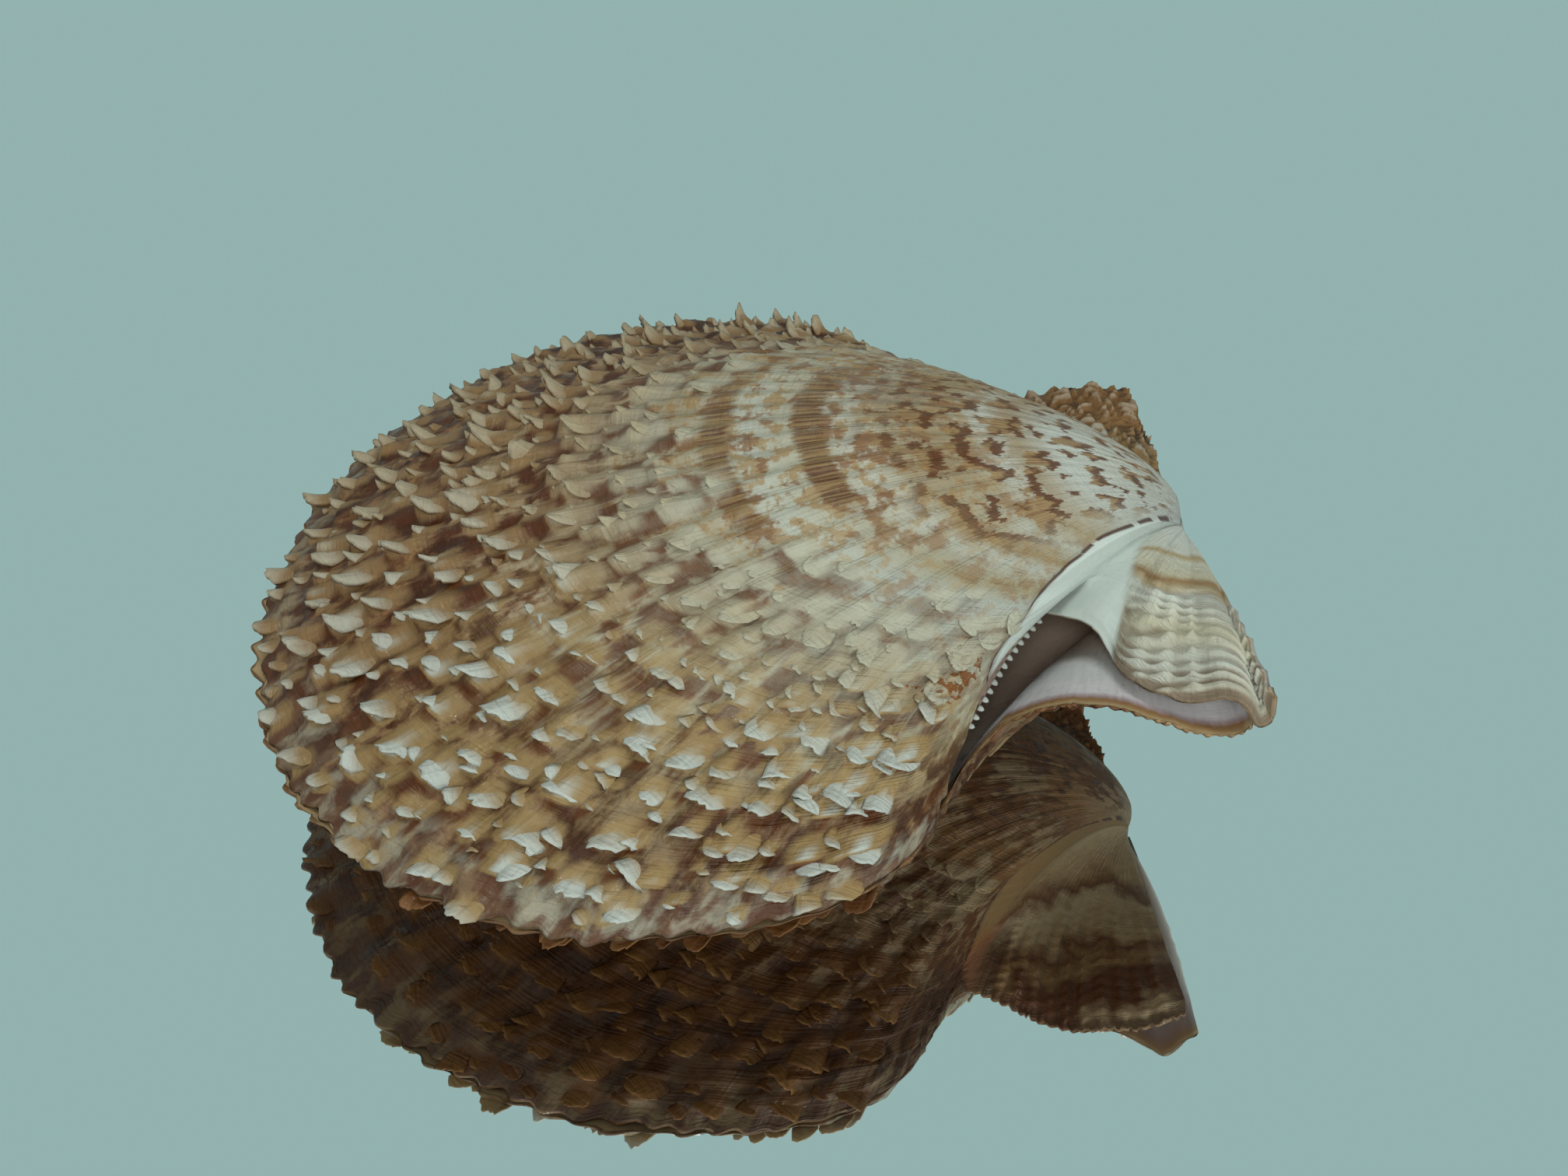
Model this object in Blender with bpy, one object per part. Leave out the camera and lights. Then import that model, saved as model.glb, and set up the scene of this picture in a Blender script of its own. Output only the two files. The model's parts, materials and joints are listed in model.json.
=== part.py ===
"""Scallop shell: two spiny, ribbed valves still held together at the hinge.

Each valve is grown the way a bivalve grows. Its finished margin is a line around the
hinge. Every earlier growth line is a smaller copy of that margin, turned about the hinge
axis, so the valve is a logarithmic coil. Ribs follow the rays of the coil, and spines
stand on the ribs. Each valve is an outer sheet and a plainer inner sheet, joined all
round their edges.

Frame: +X towards the beaks, -Y towards the front ears, +Z up through the right valve.
The origin is the middle of the base of the bounding box, where the shell lies.
"""
import math

import bmesh
import bpy
from mathutils import Vector

MM = 0.001

# The disc (millimetres from the middle of the hinge)
DISC_HALF_WIDTH = 34.1
DISC_CENTRE = 38.0                # from the hinge to the centre of the round margin
DISC_REACH = 32.0                 # from that centre to the ventral margin
SHOULDER = 27.0                   # where the round margin starts on both sides
YOUNG_ANGLE = math.radians(34.0)  # half angle of the disc at the beak

# The coil: a greater number gives a flatter valve
COIL_RIGHT = 2.08
COIL_LEFT = 1.95
BEAK_STAGE = 0.03                 # the smallest growth line, as a share of full size

# The wall (millimetres)
EDGE = 0.7                        # outside the surface on which the valves meet
EDGE_GROWN = 0.55                 # growth stage at which the outside reaches that
WALL = 0.8                        # inside it, away from the margin and the ears
WALL_FADE = 0.14                  # growth over which the inner wall thins to the margin
GAP = 0.15                        # each valve's half of the gap between them

# Ribs and spines (millimetres)
RIBS = 26
RIB_RELIEF = 0.5
EAR_RELIEF = 0.2
SPINE_HEIGHT = 2.3
SPINE_LEAN = 0.55                 # how far a spine leans towards the margin
SPINES_FROM = 0.44                # growth stage at which the spines start
SPINY_RINGS = 21
BARE_RINGS = 7
INNER_STEP = 2                    # outer columns for each inner column
INNER_RINGS = 4                   # outer rings for each inner ring

# Columns along the margin outside the ribbed disc
EAR_COLUMNS = 12
FLANK_COLUMNS = 4
BACK_FLANK_COLUMNS = 2
BACK_EAR_COLUMNS = 4

# How the shell lies
TILT_FRONT = math.radians(5.8)
TILT_VENTRAL = math.radians(4.2)
WORN = 0.7                        # height worn off the spines that the shell lies on

# Margins, from the front end of the hinge round to the disc, and on to the back end:
# (towards the front, towards the ventral side, lift off the plane of the disc's margin)
RIGHT_EAR = [(21.0, -1.7, 2.7), (22.2, -1.2, 1.9), (22.8, 0.1, 2.0), (22.6, 1.1, 3.8),
             (21.8, 2.0, 3.9), (21.2, 4.0, 3.1), (20.2, 6.1, 3.2), (18.6, 7.8, 3.3),
             (16.2, 8.4, 3.1), (13.4, 9.3, 3.4), (10.4, 11.8, 2.1)]
RIGHT_FLANK = [(10.4, 11.8, 2.1), (14.2, 14.7, 2.0), (19.2, 18.0, 1.4),
               (23.2, 20.5, 0.7), (26.4, 21.7, 0.2), (29.4, 23.6, 0.0)]
LEFT_EAR = [(20.8, -0.3, -0.5), (21.2, 0.8, -0.3), (21.2, 3.3, -0.8), (20.2, 6.0, -1.3),
            (19.0, 8.5, -2.0), (18.2, 11.3, -1.9), (18.2, 13.6, -1.4), (18.7, 16.2, -0.5)]
LEFT_FLANK = [(18.7, 16.2, -0.5), (20.4, 18.0, 0.0), (23.0, 19.8, 0.0),
              (26.3, 21.6, 0.0), (29.4, 23.6, 0.0)]
BACK_FLANK = [(-29.0, 23.2, 0.0), (-22.6, 18.4, 0.0), (-16.2, 13.6, 0.0)]
BACK_EAR = [(-16.2, 13.6, 0.0), (-17.6, 9.0, 0.4), (-18.6, 4.2, 0.3), (-18.2, 0.0, 0.0)]
RIGHT_EAR_BULGE = 0.9             # how far the ear's upper edge swells out past the hinge line

# The elastic pad between the beaks (millimetres)
PAD_SIZE = (2.0, 1.9, 2.2)
PAD_DEPTH = 2.1                   # from the hinge axis to its middle


def clear_scene():
    for thing in list(bpy.data.objects):
        bpy.data.objects.remove(thing, do_unlink=True)


def make_material(name, colour, roughness):
    material = bpy.data.materials.new(name)
    material.use_nodes = True
    shader = material.node_tree.nodes["Principled BSDF"]
    shader.inputs["Base Color"].default_value = (*colour, 1.0)
    shader.inputs["Roughness"].default_value = roughness
    shader.inputs["Metallic"].default_value = 0.0
    return material


def smooth_line(points, spans):
    """Evenly spaced points along a smooth curve through the given ones."""
    knots = [Vector(point) for point in points]
    knots = [2 * knots[0] - knots[1]] + knots + [2 * knots[-1] - knots[-2]]
    fine = []
    steps = 24
    for before, start, end, after in zip(knots, knots[1:], knots[2:], knots[3:]):
        for step in range(steps):
            t = step / steps
            fine.append(0.5 * (2 * start + (end - before) * t
                               + (2 * before - 5 * start + 4 * end - after) * t ** 2
                               + (3 * start - before - 3 * end + after) * t ** 3))
    fine.append(knots[-2])
    travelled = [0.0]
    for start, end in zip(fine, fine[1:]):
        travelled.append(travelled[-1] + (end - start).length)
    line = []
    segment = 0
    for span in range(spans + 1):
        target = travelled[-1] * span / spans
        while segment < len(fine) - 2 and travelled[segment + 1] < target:
            segment += 1
        length = travelled[segment + 1] - travelled[segment]
        line.append(fine[segment].lerp(fine[segment + 1], (target - travelled[segment]) / length))
    return line


def round_margin():
    """The disc's round margin, from the front shoulder to the back shoulder."""
    start = math.asin((SHOULDER - DISC_CENTRE) / DISC_REACH)
    sweep = math.pi - 2 * start
    points = []
    for column in range(2 * RIBS + 1):
        angle = start + sweep * column / (2 * RIBS)
        points.append(Vector((DISC_HALF_WIDTH * math.cos(angle),
                              DISC_CENTRE + DISC_REACH * math.sin(angle), 0.0)))
    return points


def polar_angle(point):
    return math.atan2(point.x, point.y)


def make_columns(ear, flank, bulge):
    """One entry for each column: its margin point, its angle at the beak, rib and wall.

    rib is 1 on a crest, -1 in a groove and 0 where the surface is plain. wall is how much
    of the inner wall the column has. disc is true on the ribbed disc. bulge is how far the
    column swells past the hinge line halfway through its growth.
    """
    arc = round_margin()
    front_ear = smooth_line(ear, EAR_COLUMNS)
    front_flank = smooth_line(flank + [arc[0]], FLANK_COLUMNS)
    back_flank = smooth_line([arc[-1]] + BACK_FLANK, BACK_FLANK_COLUMNS)
    back_ear = smooth_line(BACK_EAR, BACK_EAR_COLUMNS)

    def ear_columns(points, young_side, bulge):
        hinge, notch = polar_angle(points[0]), polar_angle(points[-1])
        right_angle = math.copysign(math.pi / 2, young_side)
        for index, point in enumerate(points):
            share = (polar_angle(point) - hinge) / (notch - hinge)
            young = right_angle + (young_side - right_angle) * share
            yield {"margin": point, "young": young, "rib": (-1) ** index * EAR_RELIEF,
                   "wall": 0.0, "disc": False, "bulge": bulge * (1.0 - share) ** 2}

    columns = list(ear_columns(front_ear, YOUNG_ANGLE, bulge))
    for index, point in enumerate(front_flank[1:-1], start=1):
        columns.append({"margin": point, "young": YOUNG_ANGLE, "rib": 0.0,
                        "wall": (index / FLANK_COLUMNS) ** 3, "disc": False, "bulge": 0.0})
    widest = polar_angle(arc[0])
    for index, point in enumerate(arc):
        columns.append({"margin": point, "young": polar_angle(point) * YOUNG_ANGLE / widest,
                        "rib": -(-1) ** index * RIB_RELIEF, "wall": 1.0, "disc": True,
                        "bulge": 0.0})
    for index, point in enumerate(back_flank[1:-1], start=1):
        columns.append({"margin": point, "young": -YOUNG_ANGLE, "rib": 0.0,
                        "wall": 1.0 - index / BACK_FLANK_COLUMNS, "disc": False,
                        "bulge": 0.0})
    columns += reversed(list(ear_columns(back_ear[::-1], -YOUNG_ANGLE, 0.0)))
    return columns


def ring_stages():
    """Growth stages of the rings, from the beak to the margin."""
    bare = [BEAK_STAGE + (SPINES_FROM - BEAK_STAGE) * (ring / BARE_RINGS) ** 1.5
            for ring in range(BARE_RINGS)]
    spiny = [SPINES_FROM + (1.0 - SPINES_FROM) * ring / SPINY_RINGS
             for ring in range(SPINY_RINGS + 1)]
    return bare + spiny


def grown_point(column, stage, coil):
    """Where a margin point was at an earlier growth stage, before the valve is placed."""
    margin = column["margin"]
    radius = math.hypot(margin.x, margin.y)
    angle = column["young"] + (polar_angle(margin) - column["young"]) * stage
    turn = -math.log(stage) / coil
    front = radius * math.sin(angle)
    ventral = radius * math.cos(angle)
    down = ventral * math.cos(turn) - margin.z * math.sin(turn)
    up = ventral * math.sin(turn) + margin.z * math.cos(turn)
    swell = column["bulge"] * math.sin(math.pi * stage)
    return stage * Vector((-down, -front, up)) + Vector((swell, 0.0, 0.0))


def growth_sheet(columns, stages, coil):
    return [[grown_point(column, stage, coil) for column in columns] for stage in stages]


def sheet_directions(sheet, ring, column):
    """The outward normal and the direction of growth at one point of a sheet."""
    last_ring, last_column = len(sheet) - 1, len(sheet[0]) - 1
    growth = sheet[min(ring + 1, last_ring)][column] - sheet[max(ring - 1, 0)][column]
    across = sheet[ring][min(column + 1, last_column)] - sheet[ring][max(column - 1, 0)]
    return across.cross(growth).normalized(), growth.normalized()


def spine_height(column_index, ring, stage, column):
    """Height of the spine on a crest, or zero where none stands."""
    if not column["disc"] or column["rib"] <= 0 or stage < SPINES_FROM:
        return 0.0
    if (ring + column_index // 2) % 2:
        return 0.0
    age = (stage - SPINES_FROM) / (1.0 - SPINES_FROM)
    return SPINE_HEIGHT * (0.4 + 0.6 * min(1.0, 1.6 * age)) * (1.0 - 0.45 * age ** 6)


def edge_share(stage, column):
    """How much of the outer wall has been laid down; the beak is thinner than the rest."""
    grown = min(1.0, stage / EDGE_GROWN)
    thin = 0.5 - 0.3 * column["wall"]
    return thin + (1.0 - thin) * grown * grown * (3.0 - 2.0 * grown)


def outer_points(sheet, columns, stages):
    points = []
    for ring, stage in enumerate(stages):
        row = []
        for index, column in enumerate(columns):
            normal, growth = sheet_directions(sheet, ring, index)
            relief = (EDGE * edge_share(stage, column)
                      + column["rib"] * min(1.0, 1.6 * stage) ** 1.5)
            spine = spine_height(index, ring, stage, column)
            row.append(sheet[ring][index] + normal * (relief + spine)
                       + growth * spine * SPINE_LEAN)
        points.append(row)
    return points


def inner_points(sheet, columns, stages):
    points = []
    for ring in range(0, len(stages), INNER_RINGS):
        row = []
        for index in range(0, len(columns), INNER_STEP):
            normal, _ = sheet_directions(sheet, ring, index)
            depth = WALL * columns[index]["wall"] * min(1.0, (1.0 - stages[ring]) / WALL_FADE)
            row.append(sheet[ring][index] - normal * depth + Vector((0, 0, GAP)))
        points.append(row)
    return points


def add_sheet(mesh, points):
    """A grid whose corners are moved to the given points, its first ring closed to a tip."""
    grid = bmesh.ops.create_grid(mesh, x_segments=len(points[0]) - 1,
                                 y_segments=len(points) - 1, size=1.0)["verts"]
    width = len(points[0])
    rows = [grid[start:start + width] for start in range(0, len(grid), width)]
    for row, targets in zip(rows, points):
        for corner, target in zip(row, targets):
            corner.co = target
    middle = sum(points[0], Vector()) / width
    bmesh.ops.pointmerge(mesh, verts=rows[0], merge_co=middle)
    tip = next(corner for corner in mesh.verts if corner.is_valid and corner.co == middle)
    return [[tip]] + rows[1:]


def stitch(mesh, fine, coarse, spans):
    """Joins an edge line to one that has a corner for every few of its corners."""
    for index in range(len(coarse) - 1):
        start = index * spans
        stop = min(start + spans, len(fine) - 1)
        for corner in range(start, stop):
            mesh.faces.new((fine[corner], fine[corner + 1], coarse[index]))
        mesh.faces.new((fine[stop], coarse[index + 1], coarse[index]))


def make_valve(name, ear, flank, bulge, coil, side, material, collection):
    columns = make_columns(ear, flank, bulge)
    stages = ring_stages()
    sheet = growth_sheet(columns, stages, coil)
    mesh = bmesh.new()
    outer = add_sheet(mesh, outer_points(sheet, columns, stages))
    inner = add_sheet(mesh, inner_points(sheet, columns, stages))
    for end in (0, -1):
        stitch(mesh, [row[end] for row in outer], [row[end] for row in inner], INNER_RINGS)
    stitch(mesh, outer[-1], inner[-1], INNER_STEP)
    if side < 0:
        bmesh.ops.scale(mesh, vec=(1, 1, -1), verts=mesh.verts)
    bmesh.ops.scale(mesh, vec=(MM, MM, MM), verts=mesh.verts)
    bmesh.ops.triangulate(mesh, faces=mesh.faces)
    bmesh.ops.recalc_face_normals(mesh, faces=mesh.faces)
    data = bpy.data.meshes.new(name)
    mesh.to_mesh(data)
    mesh.free()
    data.materials.append(material)
    data.shade_smooth()
    data.set_sharp_from_angle(angle=math.radians(50))
    valve = bpy.data.objects.new(name, data)
    collection.objects.link(valve)
    return valve


def make_pad(name, material, collection):
    """The dark elastic pad that still holds the valves at the hinge."""
    mesh = bmesh.new()
    bmesh.ops.create_cube(mesh, size=1.0)
    bmesh.ops.scale(mesh, vec=[size * MM for size in PAD_SIZE], verts=mesh.verts)
    bmesh.ops.bevel(mesh, geom=mesh.edges[:], offset=0.35 * MM, segments=2, affect='EDGES')
    data = bpy.data.meshes.new(name)
    mesh.to_mesh(data)
    mesh.free()
    data.materials.append(material)
    data.shade_smooth()
    pad = bpy.data.objects.new(name, data)
    pad.location = (-PAD_DEPTH * MM, 0, 0)
    collection.objects.link(pad)
    return pad


def wear_flat(valve, turned):
    """Brings the lowest spine tips to one level, so that the shell lies still on them."""
    heights = [(turned @ corner.co).z for corner in valve.data.vertices]
    level = min(heights) + WORN * MM
    upwards = turned.transposed() @ Vector((0, 0, 1))
    for corner, height in zip(valve.data.vertices, heights):
        corner.co += upwards * max(0.0, level - height)


def lay_down(pieces, lower, collection):
    """Tilts the shell as it lies and brings the middle of its base to the origin."""
    pose = bpy.data.objects.new("lying_pose", None)
    collection.objects.link(pose)
    pose.rotation_euler = (TILT_FRONT, -TILT_VENTRAL, 0.0)
    turned = pose.rotation_euler.to_matrix()
    wear_flat(lower, turned)
    for piece in pieces:
        piece.parent = pose
    corners = [turned @ (piece.location + corner.co)
               for piece in pieces for corner in piece.data.vertices]
    low = Vector([min(corner[axis] for corner in corners) for axis in range(3)])
    high = Vector([max(corner[axis] for corner in corners) for axis in range(3)])
    pose.location = (-(low.x + high.x) / 2, -(low.y + high.y) / 2, -low.z)


def main():
    clear_scene()
    collection = bpy.data.collections.new("scallop_shell")
    bpy.context.scene.collection.children.link(collection)
    cream = make_material("right_valve", (0.62, 0.50, 0.38), 0.45)
    brown = make_material("left_valve", (0.36, 0.24, 0.16), 0.45)
    dark = make_material("hinge_ligament", (0.05, 0.035, 0.025), 0.6)
    right = make_valve("right_valve", RIGHT_EAR, RIGHT_FLANK, RIGHT_EAR_BULGE, COIL_RIGHT, 1,
                       cream, collection)
    left = make_valve("left_valve", LEFT_EAR, LEFT_FLANK, 0.0, COIL_LEFT, -1, brown, collection)
    pad = make_pad("hinge_ligament", dark, collection)
    lay_down([right, left, pad], left, collection)


main()
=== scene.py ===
import json
import math
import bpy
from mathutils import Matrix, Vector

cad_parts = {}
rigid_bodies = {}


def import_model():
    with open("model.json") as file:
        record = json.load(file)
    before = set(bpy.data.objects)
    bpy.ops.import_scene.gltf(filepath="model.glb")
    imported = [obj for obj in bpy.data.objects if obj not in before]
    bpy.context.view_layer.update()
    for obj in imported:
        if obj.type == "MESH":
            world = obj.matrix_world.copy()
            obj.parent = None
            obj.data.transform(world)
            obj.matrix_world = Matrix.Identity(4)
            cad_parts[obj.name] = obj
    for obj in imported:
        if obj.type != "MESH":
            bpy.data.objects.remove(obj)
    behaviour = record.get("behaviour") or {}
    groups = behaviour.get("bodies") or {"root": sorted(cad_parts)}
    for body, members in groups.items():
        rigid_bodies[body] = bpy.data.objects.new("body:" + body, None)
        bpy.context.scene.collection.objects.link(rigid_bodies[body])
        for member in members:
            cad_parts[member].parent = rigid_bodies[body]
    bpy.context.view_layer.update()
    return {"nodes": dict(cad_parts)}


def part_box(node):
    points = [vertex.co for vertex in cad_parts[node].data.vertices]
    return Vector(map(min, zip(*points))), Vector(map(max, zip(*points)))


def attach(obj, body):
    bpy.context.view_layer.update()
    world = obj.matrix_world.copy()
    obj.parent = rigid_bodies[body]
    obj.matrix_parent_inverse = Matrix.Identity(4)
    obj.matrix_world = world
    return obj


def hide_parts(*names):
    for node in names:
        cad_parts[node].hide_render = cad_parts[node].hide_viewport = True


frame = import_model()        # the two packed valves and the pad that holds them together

from types import SimpleNamespace

import bmesh
import bpy
import numpy as np
from mathutils import Euler, Vector

mm = 0.001
turn = 2 * math.pi

# A valve is described by its margin, in mm from the middle of the hinge: towards the front,
# towards the ventral side, and lift off the plane of the disc's margin. Every earlier growth
# line is a smaller copy of the margin, turned about the hinge.
lying = {"tiltFront": 5.8, "tiltVentral": 4.2, "padToHinge": 2.1}  # degrees, degrees, mm

disc = {
    "halfWidth": 34.1, "centre": 38.0, "reach": 32.0, "shoulder": 27.0,  # mm
    "youngAngle": 34.0,        # degrees, half the fan at the beak
    "ribs": 26, "ribWidth": 4.9, "widening": 1.6,    # mm at the margin, and how it grows to that
    "beak": 0.03,              # the smallest growth line, as a share of full size
    "growthLength": 62,        # mm of shell from beak to margin, taken as the same everywhere
    "backFlank": [(-29.0, 23.2, 0.0), (-22.6, 18.4, 0.0), (-16.2, 13.6, 0.0)],
    "backEar": [(-16.2, 13.6, 0.0), (-17.6, 9.0, 0.4), (-18.6, 4.2, 0.3), (-18.2, 0.0, 0.0)],
    "samples": (241, 121, 521, 61, 121),   # along ear, flank, disc, back flank, back ear
}

rightShape = {
    "side": 1, "coil": 2.08, "bulge": 0.9,
    "ear": [(21.0, -1.7, 2.7), (22.2, -1.2, 1.9), (22.8, 0.1, 2.0), (22.6, 1.1, 3.8),
            (21.8, 2.0, 3.9), (21.2, 4.0, 3.1), (20.2, 6.1, 3.2), (18.6, 7.8, 3.3),
            (16.2, 8.4, 3.1), (13.4, 9.3, 3.4), (10.4, 11.8, 2.1)],
    "flank": [(10.4, 11.8, 2.1), (11.0, 12.8, 2.1), (14.2, 15.3, 2.0), (19.2, 18.4, 1.4),
              (23.2, 20.7, 0.7), (26.4, 21.8, 0.2), (29.4, 23.6, 0.0)],
    "bandEdge": ((0.3, 0.5, 0.66, 0.8, 0.9, 1.0), (0.93, 0.85, 0.78, 0.74, 0.7, 0.67)),
    "seam": ((0.0, 0.26, 0.32, 0.42, 0.46, 0.54, 0.6, 0.8, 1.0),     # growth, then ribs
             (0.8, 0.8, 0.4, 0.1, -0.1, -0.7, -0.9, -2.2, -3.7)),
    "earRibs": [(0.565, 0.32), (0.48, 0.4), (0.38, 0.36), (0.29, 0.14)],   # place, height in mm
    "earFolds": 17.0, "foldHeight": 0.24, "beading": 1.7,
    "edgeStep": 0.5, "serration": 0.0, "tuck": 1.0, "seed": 11,
}

leftShape = {
    "side": -1, "coil": 1.95, "bulge": 0.0,
    "ear": [(21.2, -0.3, -0.9), (21.8, 0.8, -0.9), (22.2, 3.3, -1.6), (21.6, 6.0, -2.4),
            (20.9, 8.5, -3.2), (20.0, 11.3, -3.0), (19.3, 13.6, -2.1), (19.2, 16.2, -0.8)],
    "flank": [(19.2, 16.2, -0.8), (20.7, 18.0, -0.1), (23.0, 19.8, 0.0),
              (26.3, 21.6, 0.0), (29.4, 23.6, 0.0)],
    "bandEdge": ((0.0, 1.0), (1.2, 1.2)),
    "seam": ((0.0, 0.5, 1.0), (0.4, -1.0, -5.6)),
    "earRibs": [(0.12 + 0.088 * rib, 0.32) for rib in range(10)],
    "earFolds": 25, "foldHeight": 0.02, "beading": 0.5,
    "edgeStep": 0.0, "serration": 0.5, "tuck": 0.0, "seed": 23,
}

wall = {
    "outside": 0.7, "outsideGrown": 0.55,    # mm, and the growth at which it is reached
    "inside": 0.8, "insideFade": 0.14, "gap": 0.15,   # mm, but the fade is growth
    "marginThickness": 0.34, "notchThickness": 0.3,   # mm, at the thin growing edges
    "rim": 0.14,                 # mm, how far the rounded edge stands out
    "columnSpans": (84, 20, 416, 12, 44),   # ear, flank, disc, back flank, back ear
    "ringSpans": 150, "ringCrowding": 0.85,
    "insideColumnStep": 4, "insideRingStep": 3,
    "easing": 220,               # rounds of smoothing where the ear meets the disc
}

ornament = {
    "ribHeight": 0.2, "swell": 0.16, "lumps": 0.17, "grit": 0.03, "seamDepth": 0.34,      # mm
    "backBeads": 0.42, "marginRipple": 0.35, "insideFolds": 0.16,     # mm
    "ramp": 0.5,                 # share of a scale's foot that the shell itself rises to
    "steps": [(0.33, 0.05), (0.448, 0.1), (0.575, 0.16), (0.69, 0.14),
              (0.79, 0.16), (0.875, 0.2), (0.94, 0.3), (0.972, 0.2)],   # growth, drop in mm
    "stepRun": 0.05,             # growth over which a step rises
}

earBend = {"from": 0.38, "share": 0.42}   # past this place the ear's growth lines bend back


def smoothStep(low, high, value):
    share = np.clip((value - low) / (high - low), 0, 1)
    return share * share * (3 - 2 * share)


def bumps(count):   # rises from 0 to 1 and falls again for each whole number
    return 0.5 - 0.5 * np.cos(turn * count)


def softNoise(x, y, seed, cells=64):   # between -1 and 1, and the cells repeat
    table = np.random.default_rng(seed).uniform(-1, 1, (cells, cells))
    column, row = np.floor(x).astype(int), np.floor(y).astype(int)
    u, v = x - column, y - row
    u, v = u * u * (3 - 2 * u), v * v * (3 - 2 * v)
    left, right = column % cells, (column + 1) % cells
    low, high = (table[left, across] * (1 - u) + table[right, across] * u
                 for across in (row % cells, (row + 1) % cells))
    return low * (1 - v) + high * v


def smoothLine(points, count, fineness=24):   # evenly spaced points on a curve through these
    knots = np.array(points, float)
    knots = np.vstack([2 * knots[0] - knots[1], knots, 2 * knots[-1] - knots[-2]])
    t = np.linspace(0, 1, fineness, endpoint=False)[:, None]
    runs = [0.5 * (2 * b + (c - a) * t + (2 * a - 5 * b + 4 * c - d) * t ** 2
                   + (3 * b - a - 3 * c + d) * t ** 3)
            for a, b, c, d in zip(knots, knots[1:], knots[2:], knots[3:])]
    fine = np.vstack(runs + [knots[-2:-1]])
    travelled = np.r_[0, np.cumsum(np.linalg.norm(np.diff(fine, axis=0), axis=1))]
    where = np.linspace(0, travelled[-1], count)
    return np.stack([np.interp(where, travelled, fine[:, axis]) for axis in range(3)], -1)


def marginOf(shape):   # place runs 0-1 along the ear, then flank, disc, back flank, back ear
    ear, flank, onArc, backFlank, backEar = disc["samples"]
    start = math.asin((disc["shoulder"] - disc["centre"]) / disc["reach"])
    angle = start + (math.pi - 2 * start) * np.linspace(0, 1, onArc)
    arc = np.stack([disc["halfWidth"] * np.cos(angle),
                    disc["centre"] + disc["reach"] * np.sin(angle), 0 * angle], -1)
    lines = [smoothLine(shape["ear"], ear), smoothLine(shape["flank"] + [tuple(arc[0])], flank),
             arc, smoothLine([tuple(arc[-1])] + disc["backFlank"], backFlank),
             smoothLine(disc["backEar"], backEar)]
    polar = [np.arctan2(line[:, 0], line[:, 1]) for line in lines]
    narrow = math.radians(disc["youngAngle"])

    def earYoung(angles, atHinge, atNotch, side):
        share = (angles - atHinge) / (atNotch - atHinge)
        return side * (math.pi / 2 + (narrow - math.pi / 2) * share)

    young = [earYoung(polar[0], polar[0][0], polar[0][-1], 1), np.full(flank, narrow),
             polar[2] * narrow / polar[2][0], np.full(backFlank, -narrow),
             earYoung(polar[4], polar[4][-1], polar[4][0], -1)]
    place = [part + np.linspace(0, 1, len(line)) for part, line in enumerate(lines)]
    points = np.vstack(lines)
    return {"place": np.concatenate(place), "front": points[:, 0], "ventral": points[:, 1],
            "lift": points[:, 2], "young": np.concatenate(young)}


def grow(shape, place, growth):   # the plain surface, mm from the hinge, before it is laid down
    margin = shape["margin"]
    front, ventral, lift, young = (np.interp(place, margin["place"], margin[key])
                                   for key in ("front", "ventral", "lift", "young"))
    radius = np.hypot(front, ventral)
    angle = young + (np.arctan2(front, ventral) - young) * growth
    coiled = -np.log(growth) / shape["coil"]
    front, ventral = radius * np.sin(angle), radius * np.cos(angle)
    down = ventral * np.cos(coiled) - lift * np.sin(coiled)
    up = ventral * np.sin(coiled) + lift * np.cos(coiled)
    swell = (shape["bulge"] * (1 - np.clip(place, 0, 1)) ** 2
             * np.sin(math.pi * np.clip(growth, 0, 1)))
    return np.stack([swell - down * growth, -front * growth, up * growth], -1)


def unit(vectors):
    return vectors / np.linalg.norm(vectors, axis=-1, keepdims=True)


def alongMargin(shape, place, growth, step):
    return grow(shape, place + step, growth) - grow(shape, place - step, growth)


def directions(shape, place, growth):   # outwards, and the way the shell grows
    across = alongMargin(shape, place, growth, 0.003)
    forward = grow(shape, place, growth + 0.004) - grow(shape, place, growth - 0.004)
    return unit(np.cross(across, forward)), unit(forward)


def ribCount(place):   # distance along the margin counted in ribs, from 0 on the disc
    last = disc["ribs"]
    return np.interp(place, [0, 1, 2, 3, 4, 5], [-12, -6, 0, last, last + 4, last + 8])


def ribWidth(growth):   # mm
    return disc["ribWidth"] * np.clip(growth, 0.1, 1) ** disc["widening"]


def discShare(place):   # 1 on the disc, 0 on the ears
    return np.interp(place, [1, 2, 3, 4], [0, 1, 1, 0])


def beforeBackFlank(place):
    return 1 - smoothStep(2.98, 3.4, place)


farFromSeam = 9   # mm, for what stands clear of it


def fromSeam(shape, place, growth):   # how far past the groove that parts ear and disc, in mm
    return (ribCount(place) - np.interp(growth, *shape["seam"])) * ribWidth(growth)


def onDisc(shape, place, growth):
    return smoothStep(0.1, 1.6, fromSeam(shape, place, growth)) * beforeBackFlank(place)


def pastBandEdge(shape, place, growth):
    return place - np.interp(growth, *shape["bandEdge"])


def satinBand(shape, place, growth):   # the smooth track that the notch left behind it
    return (smoothStep(-0.035, 0.025, pastBandEdge(shape, place, growth))
            * (1 - smoothStep(-0.3, 0.2, fromSeam(shape, place, growth))))


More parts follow.
